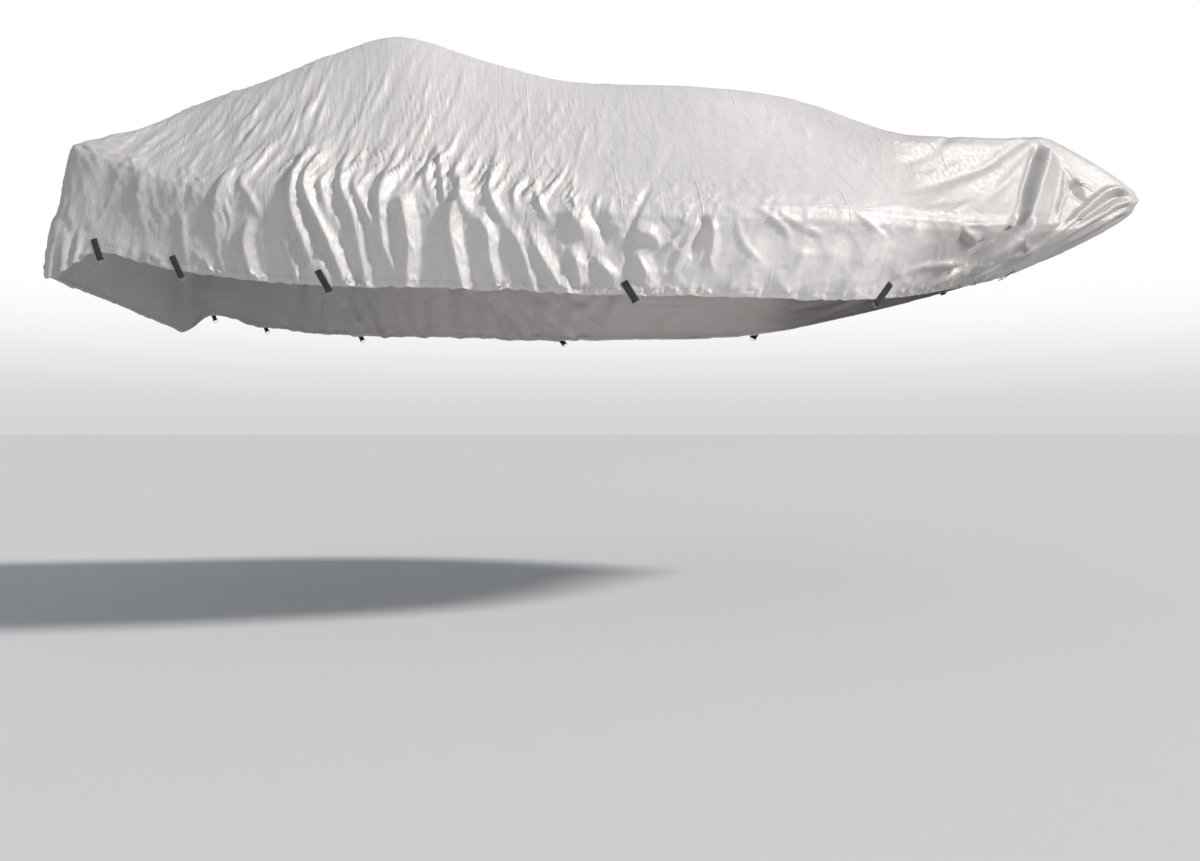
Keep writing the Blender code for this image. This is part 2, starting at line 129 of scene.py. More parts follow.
PUFFS = creases((
    (60, 26, 0.2, (0.4, 0.4), 64, 96, 70, 74, 74, 56),
    (44, 24, 0.3, (0.4, 0.1), 65, 56, 69, 30, 71, 6),
    (34, 26, 0.4, (0.4, 0.0), 73, 50, 82, 24, 95, -5),
    (45, 30, 0.2, (0.4, 0.4), 90, 74, 96, 67, 105, 62),
    (52, 22, 0.2, (0.4, 0.1), 93, 50, 98, 24, 100, 4),
    (50, -20, 0.0, (0.4, 0.4), 74, 98, 80, 74, 81, 46),
    (20, -12, -0.3, (0.3, 0.1), 105, 122, 97, 102, 92, 76, 91, 48, 89, 2),
    (16, 7, 0.0, (0.3, 0.3), 80, 110, 91, 108, 98, 103),
    (18, 8, 0.0, (0.3, 0.3), 80, 110, 77, 90, 83, 76, 93, 72),
    (30, 14, 0.2, (0.1, 0.5), 121, 86, 113, 46, 110, 8),
    (34, -24, -0.2, (0.1, 0.5), 124, 88, 121, 62, 117, 32),
    (30, 14, 0.2, (0.1, 0.5), 124, 86, 127, 60, 126, 20),
    (26, 12, 0.2, (0.1, 0.5), 118, 84, 109, 56, 99, 26),
    (16, 8, 0.0, (0.2, 0.3), 136, 94, 139, 66, 147, 44, 155, 34),
    (18, 10, 0.3, (0.3, 0.3), 143, 102, 155, 82, 162, 64),
    (16, 7, 0.3, (0.3, 0.3), 150, 102, 166, 79, 179, 70),
    (18, 10, 0.3, (0.3, 0.3), 190, 100, 201, 82, 211, 66),
    (80, 16, 0.3, (0.4, 0.2), 150, 72, 144, 40, 136, 0),
    (85, 18, 0.3, (0.4, 0.2), 172, 70, 166, 36, 158, 0),
    (80, 16, 0.3, (0.4, 0.2), 188, 76, 180, 40, 170, 0),
    (90, 20, 0.3, (0.4, 0.2), 206, 92, 198, 50, 188, 0),
    (70, 16, 0.3, (0.3, 0.3), 230, 94, 220, 58, 210, 22),
))
BOW_FOLDS = creases((
    (26, -7, 0.0, (0.1, 0.5), 362, 244, 328, 256, 310, 266, 284, 276),
    (30, -9, 0.2, (0.1, 0.5), 360, 230, 313, 224, 289, 230, 250, 182, 210, 150),
    (30, -8, 0.2, (0.1, 0.5), 352, 210, 303, 182, 285, 168, 240, 142, 210, 116),
    (60, 7, 0.2, (0.2, 0.5), 340, 196, 292, 162, 250, 136, 220, 110),
    (30, -6, 0.2, (0.2, 0.5), 330, 184, 292, 148, 256, 114),
    (86, 40, 0.42, (0.06, 0.14), 350, 188, 336, 168, 320, 148, 310, 132, 296, 112, 290, 96, 286, 76,
     279, 60, 270, 36),
    (36, -26, -0.2, (0.1, 0.14), 340, 188, 324, 166, 309, 144, 299, 124, 291, 110, 286, 98, 280, 76,
     275, 58, 266, 34),
    (42, -46, 0.2, (0.2, 0.2), 296, 114, 288, 96, 282, 78, 276, 58, 267, 36, 256, 20),
    (26, 14, 0.0, (0.2, 0.3), 300, 106, 293, 86, 284, 62, 276, 42, 266, 24),
    (16, 10, 0.3, (0.1, 0.1), 357, 158, 364, 142, 372, 124),
    (18, 12, -0.3, (0.1, 0.3), 357, 158, 344, 140, 336, 128, 327, 118, 320, 104, 319, 88),
    (70, -36, 0.0, (0.3, 0.3), 358, 146, 356, 136, 350, 124),
    (14, 7, 0.0, (0.1, 0.3), 337, 128, 344, 124, 350, 115),
    (28, 27, 0.3, (0.1, 0.2), 397, 110, 392, 120, 382, 124, 366, 120, 348, 112, 334, 103, 322, 86, 314, 56,
     294, 40),
    (22, -24, 0.0, (0.1, 0.3), 394, 108, 386, 115, 374, 113, 358, 107, 344, 99, 332, 86, 324, 56),
    (18, 15, 0.0, (0.1, 0.3), 395, 103, 378, 105, 365, 100, 348, 92, 338, 74, 330, 56),
    (16, -13, 0.0, (0.1, 0.3), 395, 98, 381, 98, 365, 92, 352, 78, 342, 60),
    (16, 13, 0.0, (0.1, 0.3), 395, 93, 382, 92, 370, 82, 358, 66, 346, 48),
    (16, -13, 0.0, (0.1, 0.3), 396, 86, 384, 85, 374, 74, 362, 54, 354, 40),
    (22, 12, 0.0, (0.1, 0.2), 400, 96, 397, 80, 386, 64, 372, 40, 350, 12),
    (14, -12, 0.0, (0.1, 0.3), 250, 92, 251, 84, 253, 78, 258, 72, 264, 64),
    (26, 18, 0.3, (0.2, 0.3), 250, 86, 258, 81, 267, 76),
    (18, 14, 0.3, (0.2, 0.3), 256, 76, 262, 72, 266, 64),
    (16, -10, 0.0, (0.3, 0.3), 269, 77, 265, 71, 264, 62),
    (16, 9, 0.0, (0.3, 0.3), 248, 93, 260, 97, 272, 92),
    (24, 14, 0.2, (0.3, 0.3), 220, 26, 232, 38, 247, 42, 263, 42, 275, 50),
    (22, 15, 0.3, (0.3, 0.2), 256, 18, 265, 26, 276, 36, 288, 46),
    (18, 12, 0.3, (0.2, 0.3), 314, 56, 300, 71, 292, 84),
    (20, 12, 0.2, (0.3, 0.3), 244, 10, 258, 20, 278, 30),
    (18, 11, 0.2, (0.3, 0.3), 270, 10, 288, 22, 306, 34),
    (16, 9, 0.2, (0.3, 0.3), 296, 10, 312, 22, 330, 30),
))
# Gathered cloth at the after corners of the hem.
CORNER_FOLDS = creases((
    (70, 16, 0.0, (0.3, 0.0), -119, 52, -118, 26, -115, -5),
    (24, 16, 0.2, (0.3, 0.1), -121, 46, -120, 24, -119, 2),
    (20, 16, 0.2, (0.3, 0.0), -118, 42, -116, 20, -115, -5),
    (16, -12, 0.0, (0.3, 0.0), -117, 36, -115, 18, -113, -5),
    (20, 16, 0.2, (0.3, 0.0), -114, 34, -112, 18, -111, -5),
    (16, 12, 0.2, (0.3, 0.0), -109, 30, -108, 16, -108, -5),
))
# The hem's low lobe under each after corner: x on the gunwale, half width and depth.
HEM_DROOP = (-1.13, 0.12, 0.045)

# Bunches of small creases: where their middles lie in x and bay, how many, how long, their lean as bays
# climbed for each metre forward, half width and height.
Bunch = namedtuple("Bunch", "x bay count length climb width height")
BUNCHES = (
    Bunch((-0.4, 0.7), (1.02, 1.26), 150, (0.09, 0.22), (1.4, 3.0), 0.01, 0.0095),
    Bunch((-0.62, 0.3), (1.14, 1.7), 140, (0.1, 0.28), (1.8, 3.4), 0.01, 0.0052),
    Bunch((-1.1, -0.3), (1.06, 2.3), 200, (0.1, 0.32), (2.0, 4.5), 0.01, 0.0048),
    Bunch((-1.18, -0.6), (0.1, 1.1), 110, (0.08, 0.26), (-9.0, -3.0), 0.009, 0.005),
    Bunch((0.1, 0.9), (1.16, 1.8), 90, (0.08, 0.22), (1.4, 3.2), 0.01, 0.0042),
    Bunch((-0.4, 0.3), (1.6, 2.6), 80, (0.1, 0.26), (2.0, 5.0), 0.011, 0.0038),
    Bunch((0.8, 1.6), (0.96, 1.22), 60, (0.04, 0.13), (-3.0, 3.0), 0.01, 0.005),
    Bunch((-0.6, 0.7), (0.1, 0.95), 80, (0.05, 0.16), (-7.0, 7.0), 0.0095, 0.0042),
    Bunch((0.6, 1.2), (0.05, 0.95), 60, (0.05, 0.16), (-6.0, 6.0), 0.011, 0.0055),
    Bunch((1.2, 2.3), (0.05, 0.95), 70, (0.05, 0.18), (-5.0, 8.0), 0.012, 0.0046),
    Bunch((0.3, 2.2), (1.2, 2.8), 120, (0.05, 0.22), (-3.0, 3.0), 0.012, 0.0044),
    Bunch((2.2, 3.3), (0.05, 0.45), 60, (0.04, 0.14), (1.5, 4.0), 0.012, 0.008),
    Bunch((2.3, 3.5), (1.0, 2.0), 30, (0.08, 0.26), (0.6, 1.4), 0.014, 0.0035),
    Bunch((-1.1, 3.1), (0.02, 0.12), 230, (0.02, 0.06), (-16.0, 16.0), 0.011, 0.008),
)
PORT_SHIFT = 0.06            # how much further forward the port side's folds stand
PORT_SHARE = 0.85            # and their height against the starboard ones
SEED = 23
CALM_TOP = 0.55              # how much flatter the small creases lie over the shoulder and the ridge
PATH_PARTS = 10              # parts of a crease's line between two points of its table
PATH_STEP = 0.006            # and from point to point of the line as it is used
RIDGE_GAP = 0.001            # kept by a crease's line from the middle of the bow
BAY_HEIGHT = 0.5             # rough height of a bay, for the length of a leaning crease
SMALL_BEND = 0.25            # most that a small crease bends, as a share of its length
SMALL_SIZES = (0.6, 1.3)     # least and most height of one against its bunch's
SMALL_LEANS = (-0.3, 0.4)
SMALL_FADE = (0.45, 0.45)
SMALL_TOP = 2.95             # no small crease ends above this bay
TROUGH_SHARE = 0.25          # of the small creases are troughs
TROUGH_DEPTH = 0.6           # as deep as this against the height of a ridge

# The finer unevenness of the cloth. Each kind of crinkle has its share, how often it comes across, along and
# in y, how far it wanders, and where it starts.
CRINKLES = ((0.62, 17, 2.8, 3.0, 2.6, 0), (0.38, 38, 5.0, 5.0, -4.0, 9))
CRINKLE_LEAN = math.radians(62)
CRINKLE_SHARPNESS = 2.6
CRINKLE_WANDER = 1.7
CRINKLED = (1.3, 1.4, 0.25)  # x of the weakest crinkles, metres over which they grow aft, and the least share
FACET_SCALE = (6.5, 6.5, 7.5)
FACET_WARP = (0.5, 0.0, 0.4)
FACET_WARP_SCALE = 4
FACET_EDGE = 3.2             # how narrow the edges between the facets are
FACETED_FROM = (0.2, 1.0)    # x where the facets start, and metres over which they grow forward
FACETED_BELOW = (-0.66, 0.2, 0.35)   # height where they start to grow, over how much, and their share above
BROAD_SCALE = (1.9, 1.9, 2.4)
BROAD_START = (0, 4, 0)
BROAD_HEIGHT = 0.006
QUIET_BAYS = (0.25, 0.15)    # over which the small creases die out at the ridge and at the hem
CALM_BAYS = (1.5, 0.5)       # bay where the cloth starts to lie calmer, and over how many
HEM_ZONE = 0.34              # bays over which the elastic draws the cloth
HEM_ZONE_POWER = 1.5
SLOW_GATHERS = 7.0           # slow waves of the hem to a metre
GATHER_LIFTS = (1.6, 2.0)    # shares of the even gathers and the slow waves in the hem's lift
GATHER_RISES = (0.009, 0.010)   # and metres by which they raise it

# The grid of the cloth.
COLUMNS = 750                # of the starboard half
PORT_STEP = 3                # starboard columns to each port one
# Spacing of the columns up to each x.
COLUMN_SPACING = ((-1.17, 0.024), (-0.7, 0.0085), (0.8, 0.0046), (1.3, 0.0075), (2.3, 0.013), (4.03, 0.0115))
CASING_ROWS = (0.0, 0.010, 0.026, 0.044, 0.060, 0.074, 0.090)
CASING_SWELL = (0.0, 0.0008, 0.0012, 0.0011, 0.0005, -0.0003, 0.0)
ZONE_ROWS = ((0.09, 1, 30, 1.0), (1, 2, 38, 1.25), (2, 3, 20, 1.0))   # from, to, count, closeness at first
HEM_RETURN = ((-0.0035, 0.001), (-0.0046, 0.010), (-0.0040, 0.022))   # (outward, up) from the hem's edge
GATHER_LENGTH = 0.034        # from one gather of the elastic hem to the next

SLOPE_STEP = 0.004           # for feeling the slope of the cloth

# The webbing, the rings and the tails.
WEB_THICKNESS = 0.0016
WEB_CLEARANCE = 0.0020
WEB_STEP = 0.003
WEB_CELLS = 6
EDGE_ROUNDING = (0.55, 6)    # share of the thickness lost at a ribbon's edge, and how sharply
RAY_START = 0.12
RAYS_DOWN = 28
RAYS_ACROSS = 5
FOOT_BAY = 0.02
TAB_BELOW_HEM = 0.024
LOOP_RADIUS = 0.0042
LOOP_RETURN = 0.004
LOOP_STEPS = 12
STITCH_INSETS = (0.004, 0.005, 0.012)   # from the webbing's sides, its top and its foot
STITCH_GAP = 0.14            # share of its place that a stitch leaves free at each end
STITCH_HALF_WIDTH = 0.00045
STITCH_HEIGHT = 0.00035
STITCH_FLOOR = 0.00072
STITCH_ARCH = ((0.0, 0.0), (0.25, 0.8), (0.75, 0.8), (1.0, 0.0))
PRESS_MARGINS = (0.003, 0.004, 0.020)   # of the flat place behind a tab: beside, above and below it
PRESS_FADE = 0.050
PRESS_REACH = 0.10
PRESS_BEHIND = 0.0026
RING_WIRE = 0.0019
RING_PLAY = 0.002
RING_DROP = 0.017
TAIL_WIDTH = 0.006
TAIL_THICKNESS = 0.0012
TAIL_STEPS = 24
TAIL_WAVE = 0.004
TAIL_TURN = 2.6
TAIL_DROOP = 0.006
TAIL_INSET = 0.004
TAIL_CELLS = 4
# The tabs of one side: where on the gunwale's x, how far its top leans forward of its foot, its length from
# top to hem, the webbing's width, and how long the loose tail of the starboard one is.
Tab = namedtuple("Tab", "x lean length width tail")
TABS = (
    Tab(-1.02, -0.022, 0.050, 0.022, None),
    Tab(-0.79, -0.022, 0.052, 0.022, None),
    Tab(-0.28, -0.026, 0.056, 0.025, 0.045),
    Tab(0.91, -0.034, 0.056, 0.030, None),
    Tab(2.17, 0.038, 0.075, 0.036, 0.110),
    Tab(3.35, -0.010, 0.045, 0.025, 0.060),
)

# The cloth's finish, with its painted shade and light: places by x on the gunwale, or in metres up the cloth
# for the lit drop and the hem.
# painted shade: the colour is darker aft of the first x, fading out by the second
SHADED_AFT = (-1.1, 0.35)
# painted shade: the colour is darker over the bow, fading in from the first x to the second
SHADED_BOW = (2.05, 2.45)
SMOOTH_FORWARD = (0.7, 1.5)
# painted light: the low drop, up to these heights, is lighter forward of the smooth x and aft of the bow, by
# this share
LIT_DROP = (0.24, 0.35)
LIT_DROP_SHARE = 0.8
WRINKLE_SCALE = (26, 4.2, 1)
WRINKLE_TURN = math.radians(-27)
WRINKLE_DEPTH = 0.0012
WRINKLE_CALM = 0.75          # share of the wrinkles that is gone forward
CRUMPLE_SCALE = 46.0
CRUMPLE_DEPTH = 0.0013
PACKING_SQUARE = (0.17, 0.21)   # half the distance between the packing creases
PACKING_WIDTH = 0.006
PACKING_DEPTH = 0.0016
WEAVE_SCALE = 380.0
GRAIN_SCALE = 420.0
WEAVE_DEPTH = 0.00012
HEM_SEAM_UP = 0.0285
HEM_SEAM_EDGES = (0.0006, 0.0010)
HEM_STITCH = 0.0032          # half the distance from stitch to stitch
HEM_STITCH_EDGES = (0.0009, 0.0013)
HEM_THREAD = (0.30, 0.30, 0.31)
TARNISH = (0.30, 0.27, 0.24)
WEB_WIDTH = 0.025            # for the pattern of the tabs' webbing

# The stage.
CAMERA_PLACE = (0.1, -4.95, -1.7475)
CAMERA_TURN = (90.0, 0.0, -10.0)
SENSOR_WIDTH = 36
FLOOR_SIZE = 400
FLOOR_MIDDLE = (1.4, 0)
# Each light with its strength against the key's, its angle, the way to it and its colour.
SUNS = (("key", 1.0, 0.14, (0.85, -0.27, 0.66), (1.0, 0.945, 0.915)),
        ("fill", 0.1, 1.2, (-0.3, -1.0, 0.5), (0.88, 0.94, 1.0)))
SKY_COLOUR = (0.84, 0.92, 1.0, 1)
HORIZON_COLOUR = (0.66, 0.66, 0.66, 1)
ZENITH_COLOUR = (1.0, 1.0, 1.0, 1)
SWEEP_HEIGHT = 0.14          # rise over which the backdrop pales

COLOUR = {"subtype": "COLOR", "size": 3, "min": 0, "max": 1}


class CoverSettings(bpy.types.PropertyGroup):
    """Sizes and colours of the cloth."""

    fold_gain: FloatProperty(
        name="Fold gain", description="Height of the hand-laid folds against their table", default=1.0,
        min=0, max=2)
    crinkle_height: FloatProperty(
        name="Crinkle height", description="Height of the fine crinkles all over", default=0.0062,
        unit="LENGTH")
    facet_height: FloatProperty(
        name="Facet height", description="Height of the crisp edges between flat facets", default=0.0035,
        unit="LENGTH")
    gather_height: FloatProperty(
        name="Gather height", description="Height of the gathers along the elastic hem", default=0.0080,
        unit="LENGTH")
    cloth_colour: FloatVectorProperty(
        name="Cloth", description="Silver coating where it is clean", default=(0.68, 0.655, 0.64), **COLOUR)
    # Darker cloth: painted shade towards the stern, and also the real dust and random patches
    shade_and_dust_colour: FloatVectorProperty(
        name="Worn cloth", description="Silver coating where it is dusty or rubbed",
        default=(0.50, 0.488, 0.48), **COLOUR)
    # Darker cloth over the bow: painted shade, not a real greying
    bow_shade_colour: FloatVectorProperty(
        name="Bow cloth", description="Silver coating over the bow, greyed by handling",
        default=(0.45, 0.432, 0.42), **COLOUR)
    # Lighter cloth on the low drop towards the bow: painted light
    lit_drop_colour: FloatVectorProperty(
        name="Clean cloth", description="Silver coating of the bright drop at the bow",
        default=(0.80, 0.77, 0.75), **COLOUR)
    cloth_roughness: FloatProperty(
        name="Roughness", description="Roughness of the coating", default=0.50, subtype="FACTOR", min=0, max=1)


class TrimSettings(bpy.types.PropertyGroup):
    """Colours of the webbing, thread and rings."""

    web_colour: FloatVectorProperty(
        name="Webbing", description="Black webbing", default=(0.018, 0.018, 0.020), **COLOUR)
    thread_colour: FloatVectorProperty(
        name="Thread", description="Thread of the tabs", default=(0.05, 0.05, 0.055), **COLOUR)
    steel_colour: FloatVectorProperty(
        name="Steel", description="Plated wire of the rings", default=(0.60, 0.59, 0.57), **COLOUR)
    stitches: IntProperty(
        name="Stitches", description="Stitches along each long side of a tab's box", default=9, min=2, max=30)


class StageSettings(bpy.types.PropertyGroup):
    """The floor, the light and the camera's lens."""

    floor_drop: FloatProperty(
        name="Floor drop", description="From the camera down to the floor", default=0.82, unit="LENGTH")
    floor_colour: FloatVectorProperty(
        name="Floor", description="Pale floor", default=(0.62, 0.62, 0.62), **COLOUR)
    lens: FloatProperty(
        name="Lens", description="Focal length on a sensor 36 mm wide", default=30.0,
        subtype="DISTANCE_CAMERA")
    key_strength: FloatProperty(name="Key light", description="Strength of the key light", default=3.3, min=0)
    sky_strength: FloatProperty(
        name="Sky light", description="Strength of the soft light all round", default=0.385, min=0)


# The surface.

def rib_row(rib, side):
    corners = []
    for x, breadth, height in (rib.hem, rib.gunwale, rib.shoulder, rib.ridge):
        corners += [x, side * breadth, height - PEAK_TO_ORIGIN]
    return corners + [rib.belly, rib.sag]


LOOP = np.array([rib_row(rib, -1) for rib in RIBS] + [rib_row(rib, 1) for rib in RIBS[-2:0:-1]])
GAPS = np.linalg.norm(np.roll(LOOP[:, 3:6], -1, axis=0) - LOOP[:, 3:6], axis=1)
REACH = np.concatenate(([0.0], np.cumsum(GAPS)))
GIRTH = REACH[-1]
HALF_WAY = GIRTH / 2


def reach_at(x):
    """How far around the starboard gunwale a place with this x is, from the corner of the transom forward."""
    xs = [rib.gunwale[0] for rib in RIBS]
    return float(np.interp(x, xs[2:], REACH[2:len(RIBS)]))


def ribs_between(reaches):
    """The ribs at any reaches, smooth from rib to rib."""
    reaches = np.asarray(reaches, float) % GIRTH
    count = len(LOOP)
    k = np.clip(np.searchsorted(REACH, reaches + 1e-9, side="right") - 1, 0, count - 1)
    span = (REACH[k + 1] - REACH[k])[:, None]
    t = (reaches[:, None] - REACH[k][:, None]) / span
    here, after = LOOP[k], LOOP[(k + 1) % count]
    before, beyond = LOOP[k - 1], LOOP[(k + 2) % count]
    leave = (after - before) * span / (GAPS[k - 1][:, None] + span)
    arrive = (beyond - here) * span / (GAPS[(k + 1) % count][:, None] + span)
    gap = after - here
    return here + t * leave + t * t * (3 * gap - 2 * leave - arrive) + t ** 3 * (leave + arrive - 2 * gap)


def on_section(ribs, bays):
    """Points on the straight-edged sections, one row of ribs by one row of bays; bays past 3 are mirrored."""
    bays = np.asarray(bays, float)
    past = bays > 3
    bays = np.where(past, 6 - bays, bays)
    corners = ribs[:, :12].reshape(-1, 4, 3)
    outward = corners[:, 1] - corners[:, 3]
    outward[:, 2] = 0
    outward /= np.linalg.norm(outward, axis=1)[:, None]
    points = np.empty((len(ribs), len(bays), 3))
    swells = (ribs[:, 12], -ribs[:, 13], None)
    for n, bay in enumerate(bays):
        k = min(int(bay), 2)
        t = bay - k
        edge = corners[:, k + 1] - corners[:, k]
        points[:, n] = corners[:, k] + t * edge
        if swells[k] is not None:
            along = np.sum(outward * edge, axis=1) / np.maximum(np.sum(edge * edge, axis=1), 1e-12)
            square = outward - edge * along[:, None]
            size = np.maximum(np.linalg.norm(square, axis=1), 1e-6)[:, None]
            points[:, n] += square / size * (swells[k] * 4 * t * (1 - t))[:, None]
    ridge_y = corners[:, 3, 1][:, None]
    points[:, past, 1] = 2 * ridge_y - points[:, past, 1]
    return points


def base_points(reaches, bays):
    """The smooth cloth over the ribs, as columns by rows by xyz."""
    ribs, bays = ribs_between(reaches), np.asarray(bays, float)
    soft = np.minimum(CORNER_SOFTNESS, np.maximum(bays, 0))
    rows = [on_section(ribs, np.maximum(bays + shift * soft, 0)) for shift in (-1, 0, 1)]
    return (rows[0] + 2 * rows[1] + rows[2]) / 4


def base_point(reach, bay):
    """One point of the smooth cloth."""
    return Vector(base_points([reach], [bay])[0, 0])


def outward_normal(reach, bay):
    """The way out of the smooth cloth at one place."""
    step = SLOPE_STEP
    around = base_point(reach + step, bay) - base_point(reach - step, bay)
    up = base_point(reach, min(bay + step, 3)) - base_point(reach, max(bay - step, 0))
    return around.cross(up).normalized()


def smooth_step(value):
    value = np.clip(value, 0.0, 1.0)
    return value * value * (3 - 2 * value)


def grid_normals(points):
    """Normals of a grid of columns by rows."""
    normals = np.cross(np.gradient(points, axis=0), np.gradient(points, axis=1))
    size = np.linalg.norm(normals, axis=2, keepdims=True)
    return normals / np.maximum(size, 1e-12)


# The folds.

def crease_path(crease, side):
    """The crease as close points on the smooth cloth, from (x, bay) points joined by a smooth line."""
    ends = [crease.points[0], *crease.points, crease.points[-1]]
    places = []
    for before, here, after, beyond in zip(ends, ends[1:], ends[2:], ends[3:]):
        for k in range(PATH_PARTS):
            t = k / PATH_PARTS
            place = []
            for a, b, c, d in zip(before, here, after, beyond):
                turn = t * (c - a) + t * t * (2 * a - 5 * b + 4 * c - d) + t ** 3 * (3 * b - a - 3 * c + d)
                place.append(b + 0.5 * turn)
            places.append(place)
    places.append(list(crease.points[-1]))
    shift = PORT_SHIFT if side > 0 else 0
    reaches = np.array([min(reach_at(x) + shift, HALF_WAY - RIDGE_GAP) for x, _ in places])
    if side > 0:
        reaches = GIRTH - reaches
    line = np.array([base_points([reach], [max(bay, 0)])[0, 0] for reach, (_, bay) in zip(reaches, places)])
    gone = np.concatenate(([0.0], np.cumsum(np.linalg.norm(np.diff(line, axis=0), axis=1))))
    even = np.linspace(0, gone[-1], max(int(gone[-1] / PATH_STEP), 8))
    return np.stack([np.interp(even, gone, line[:, axis]) for axis in range(3)], axis=1)


def lift_crease(lift, points, crease, side, gain, profile):
    """Adds one crease to the lift of the vertices near it. The bow side of its line is the wide one."""
    path = crease_path(crease, side)
    reach = crease.width * (1 + abs(crease.lean))
    low, high = path.min(axis=0) - reach, path.max(axis=0) + reach
    near = np.nonzero(np.all((points > low) & (points < high), axis=1))[0]
    if not len(near):
        return
    gaps = points[near][:, None, :] - path[None, :, :]
    squares = np.sum(gaps * gaps, axis=2)
    nearest = np.argmin(squares, axis=1)
    rows = np.arange(len(near))
    far = np.sqrt(squares[rows, nearest])
    steep = max(crease.width * (1 - crease.lean), NARROWEST)
    width = np.where(gaps[rows, nearest, 0] > -1e-9, crease.width * (1 + crease.lean), steep)
    crest = np.maximum(CREST_SHARE, CREST_WIDTH / width)
    away = np.sqrt((far / width) ** 2 + crest ** 2) - crest
    shape = np.clip(1 - away / (np.sqrt(1 + crest ** 2) - crest), 0, 1) ** profile
    along = nearest / (len(path) - 1)
    share = np.ones(len(near))
    for gone, fade in zip((along, 1 - along), crease.fade):
        if fade:
            share = share * smooth_step(gone / fade)
    lift[near] += gain * crease.height * shape * share


def bunch_creases(bunch, chance):
    """Small creases spread over a bunch's place."""
    for _ in range(bunch.count):
        x, bay = chance.uniform(*bunch.x), chance.uniform(*bunch.bay)
        length, climb = chance.uniform(*bunch.length), chance.uniform(*bunch.climb)
        forward = length / math.hypot(1, climb * BAY_HEIGHT)
        bend = chance.uniform(-SMALL_BEND, SMALL_BEND) * forward
        foot = (x - forward / 2, bay - climb * forward / 2)
        head = (x + forward / 2, bay + climb * forward / 2)
        size = chance.uniform(*SMALL_SIZES)
        sign = -TROUGH_DEPTH if chance.random() < TROUGH_SHARE else 1.0
        lean = chance.uniform(*SMALL_LEANS)
        if max(foot[1], head[1]) <= SMALL_TOP:
            height = sign * size * bunch.height
            yield Crease(bunch.width, height, lean, SMALL_FADE, (foot, (x + bend, bay), head))


def ridged(value):
    """A crisp ridge where smooth noise crosses nought."""
    return max(0.0, 1 - abs(value) * CRINKLE_SHARPNESS) ** 2


def crinkles(points):
    """Fine uneven crinkles all over, as crisp ridges that lean forward as they climb."""
    sine, cosine = math.sin(CRINKLE_LEAN), math.cos(CRINKLE_LEAN)
    found = np.zeros(len(points))
    for n, (x, y, z) in enumerate(points):
        across, along = x * sine - z * cosine, x * cosine + z * sine
        wander = noise.noise(Vector((x * CRINKLE_WANDER, y * CRINKLE_WANDER, z * CRINKLE_WANDER)))
        for share, in_across, in_along, in_y, bend, start in CRINKLES:
            place = Vector((across * in_across + wander * bend, along * in_along + start, y * in_y))
            found[n] += share * ridged(noise.noise(place))
    return found


def facets(points):
    """Flat facets with crisp edges between them, as left by packing and crumpling."""
    found = np.empty(len(points))
    for n, point in enumerate(points):
        warp = noise.noise(Vector([p * FACET_WARP_SCALE for p in point]))
        place = [p * scale + bend * warp for p, scale, bend in zip(point, FACET_SCALE, FACET_WARP)]
        near, far = noise.voronoi(Vector(place))[0][:2]
        found[n] = max(0.0, 1 - (far - near) * FACET_EDGE)
    return found


def crinkle_share(points):
    """Where the crinkles are strong: over the after half, weak on the smooth foredeck and bow."""
    start, over, least = CRINKLED
    return least + (1 - least) * smooth_step((start - points[:, 0]) / over)


def facet_share(points):
    """Where the facets are strong: on the drop along the foredeck."""
    (start, over), (top, depth, least) = FACETED_FROM, FACETED_BELOW
    lower = least + (1 - least) * smooth_step((top - points[:, 2]) / depth)
    return smooth_step((points[:, 0] - start) / over) * lower


def broad_waves(points):
    """Slow unevenness of the stretched cloth."""
    places = points * BROAD_SCALE + BROAD_START
    return np.array([noise.noise(Vector(place)) for place in places])


# The tabs' places.

def on_cloth(surface, reach, bay):
    """Where a ray from outside meets the cloth, and the way out there."""
    normal = outward_normal(reach, bay)
    start = base_point(reach, bay) + normal * RAY_START
    return surface.ray_cast(start, -normal)[0], normal


def hang(tab):
    """How far below the hem a tab's ring hangs, so that a leaning tab clears the hem with its whole width."""
    return TAB_BELOW_HEM + tab.width / 2 * abs(tab.lean) / tab.length


def tab_frame(surface, tab, side):
    """Where a tab lies: x down along the webbing from the hem, y out of the cloth and z along the hem."""
    reach = reach_at(tab.x)
    height = (base_point(reach, 1) - base_point(reach, 0)).length
    foot_at, top_at = reach - tab.lean / 2, reach + tab.lean / 2
    if side > 0:
        foot_at, top_at = GIRTH - foot_at, GIRTH - top_at
    foot, normal = on_cloth(surface, foot_at, FOOT_BAY)
    top, _ = on_cloth(surface, top_at, tab.length / height)
    down = (foot - top).normalized()
    along = down.cross(normal).normalized()
    out = along.cross(down)
    half = tab.width / 2 + RING_PLAY + 2 * RING_WIRE
    highest, bar = 0.0, hang(tab)
    lowest = bar + RING_DROP
    for step in range(RAYS_DOWN + 1):
        for across in range(-RAYS_ACROSS, RAYS_ACROSS + 1):
            below = lowest - (lowest + tab.length) * step / RAYS_DOWN
            behind = LOOP_RADIUS + RING_WIRE if below > bar - 2 * LOOP_RADIUS else 0.0
            start = foot + down * below + out * RAY_START
            start += along * (across * half / RAYS_ACROSS)
            hit, _, _, _ = surface.ray_cast(start, -out, 2 * RAY_START)
            if hit:
                highest = max(highest, (hit - foot).dot(out) + behind)
    rows = Matrix((down, out, along)).transposed().to_4x4()
    return Matrix.Translation(foot + out * (highest + WEB_CLEARANCE)) @ rows


def all_tabs():
    """Each tab with its side's name, number and frame, found on the frame's own cloth."""
    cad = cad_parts["cover_cloth"]
    corners = [cad.matrix_world @ vert.co for vert in cad.data.vertices]
    surface = BVHTree.FromPolygons(corners, [tuple(face.vertices) for face in cad.data.polygons])
    found = []
    for side, side_name in ((-1, "starboard"), (1, "port")):
        for number, tab in enumerate(TABS, 1):
            found.append((tab, side, f"{side_name}_{number}", tab_frame(surface, tab, side)))
    return found


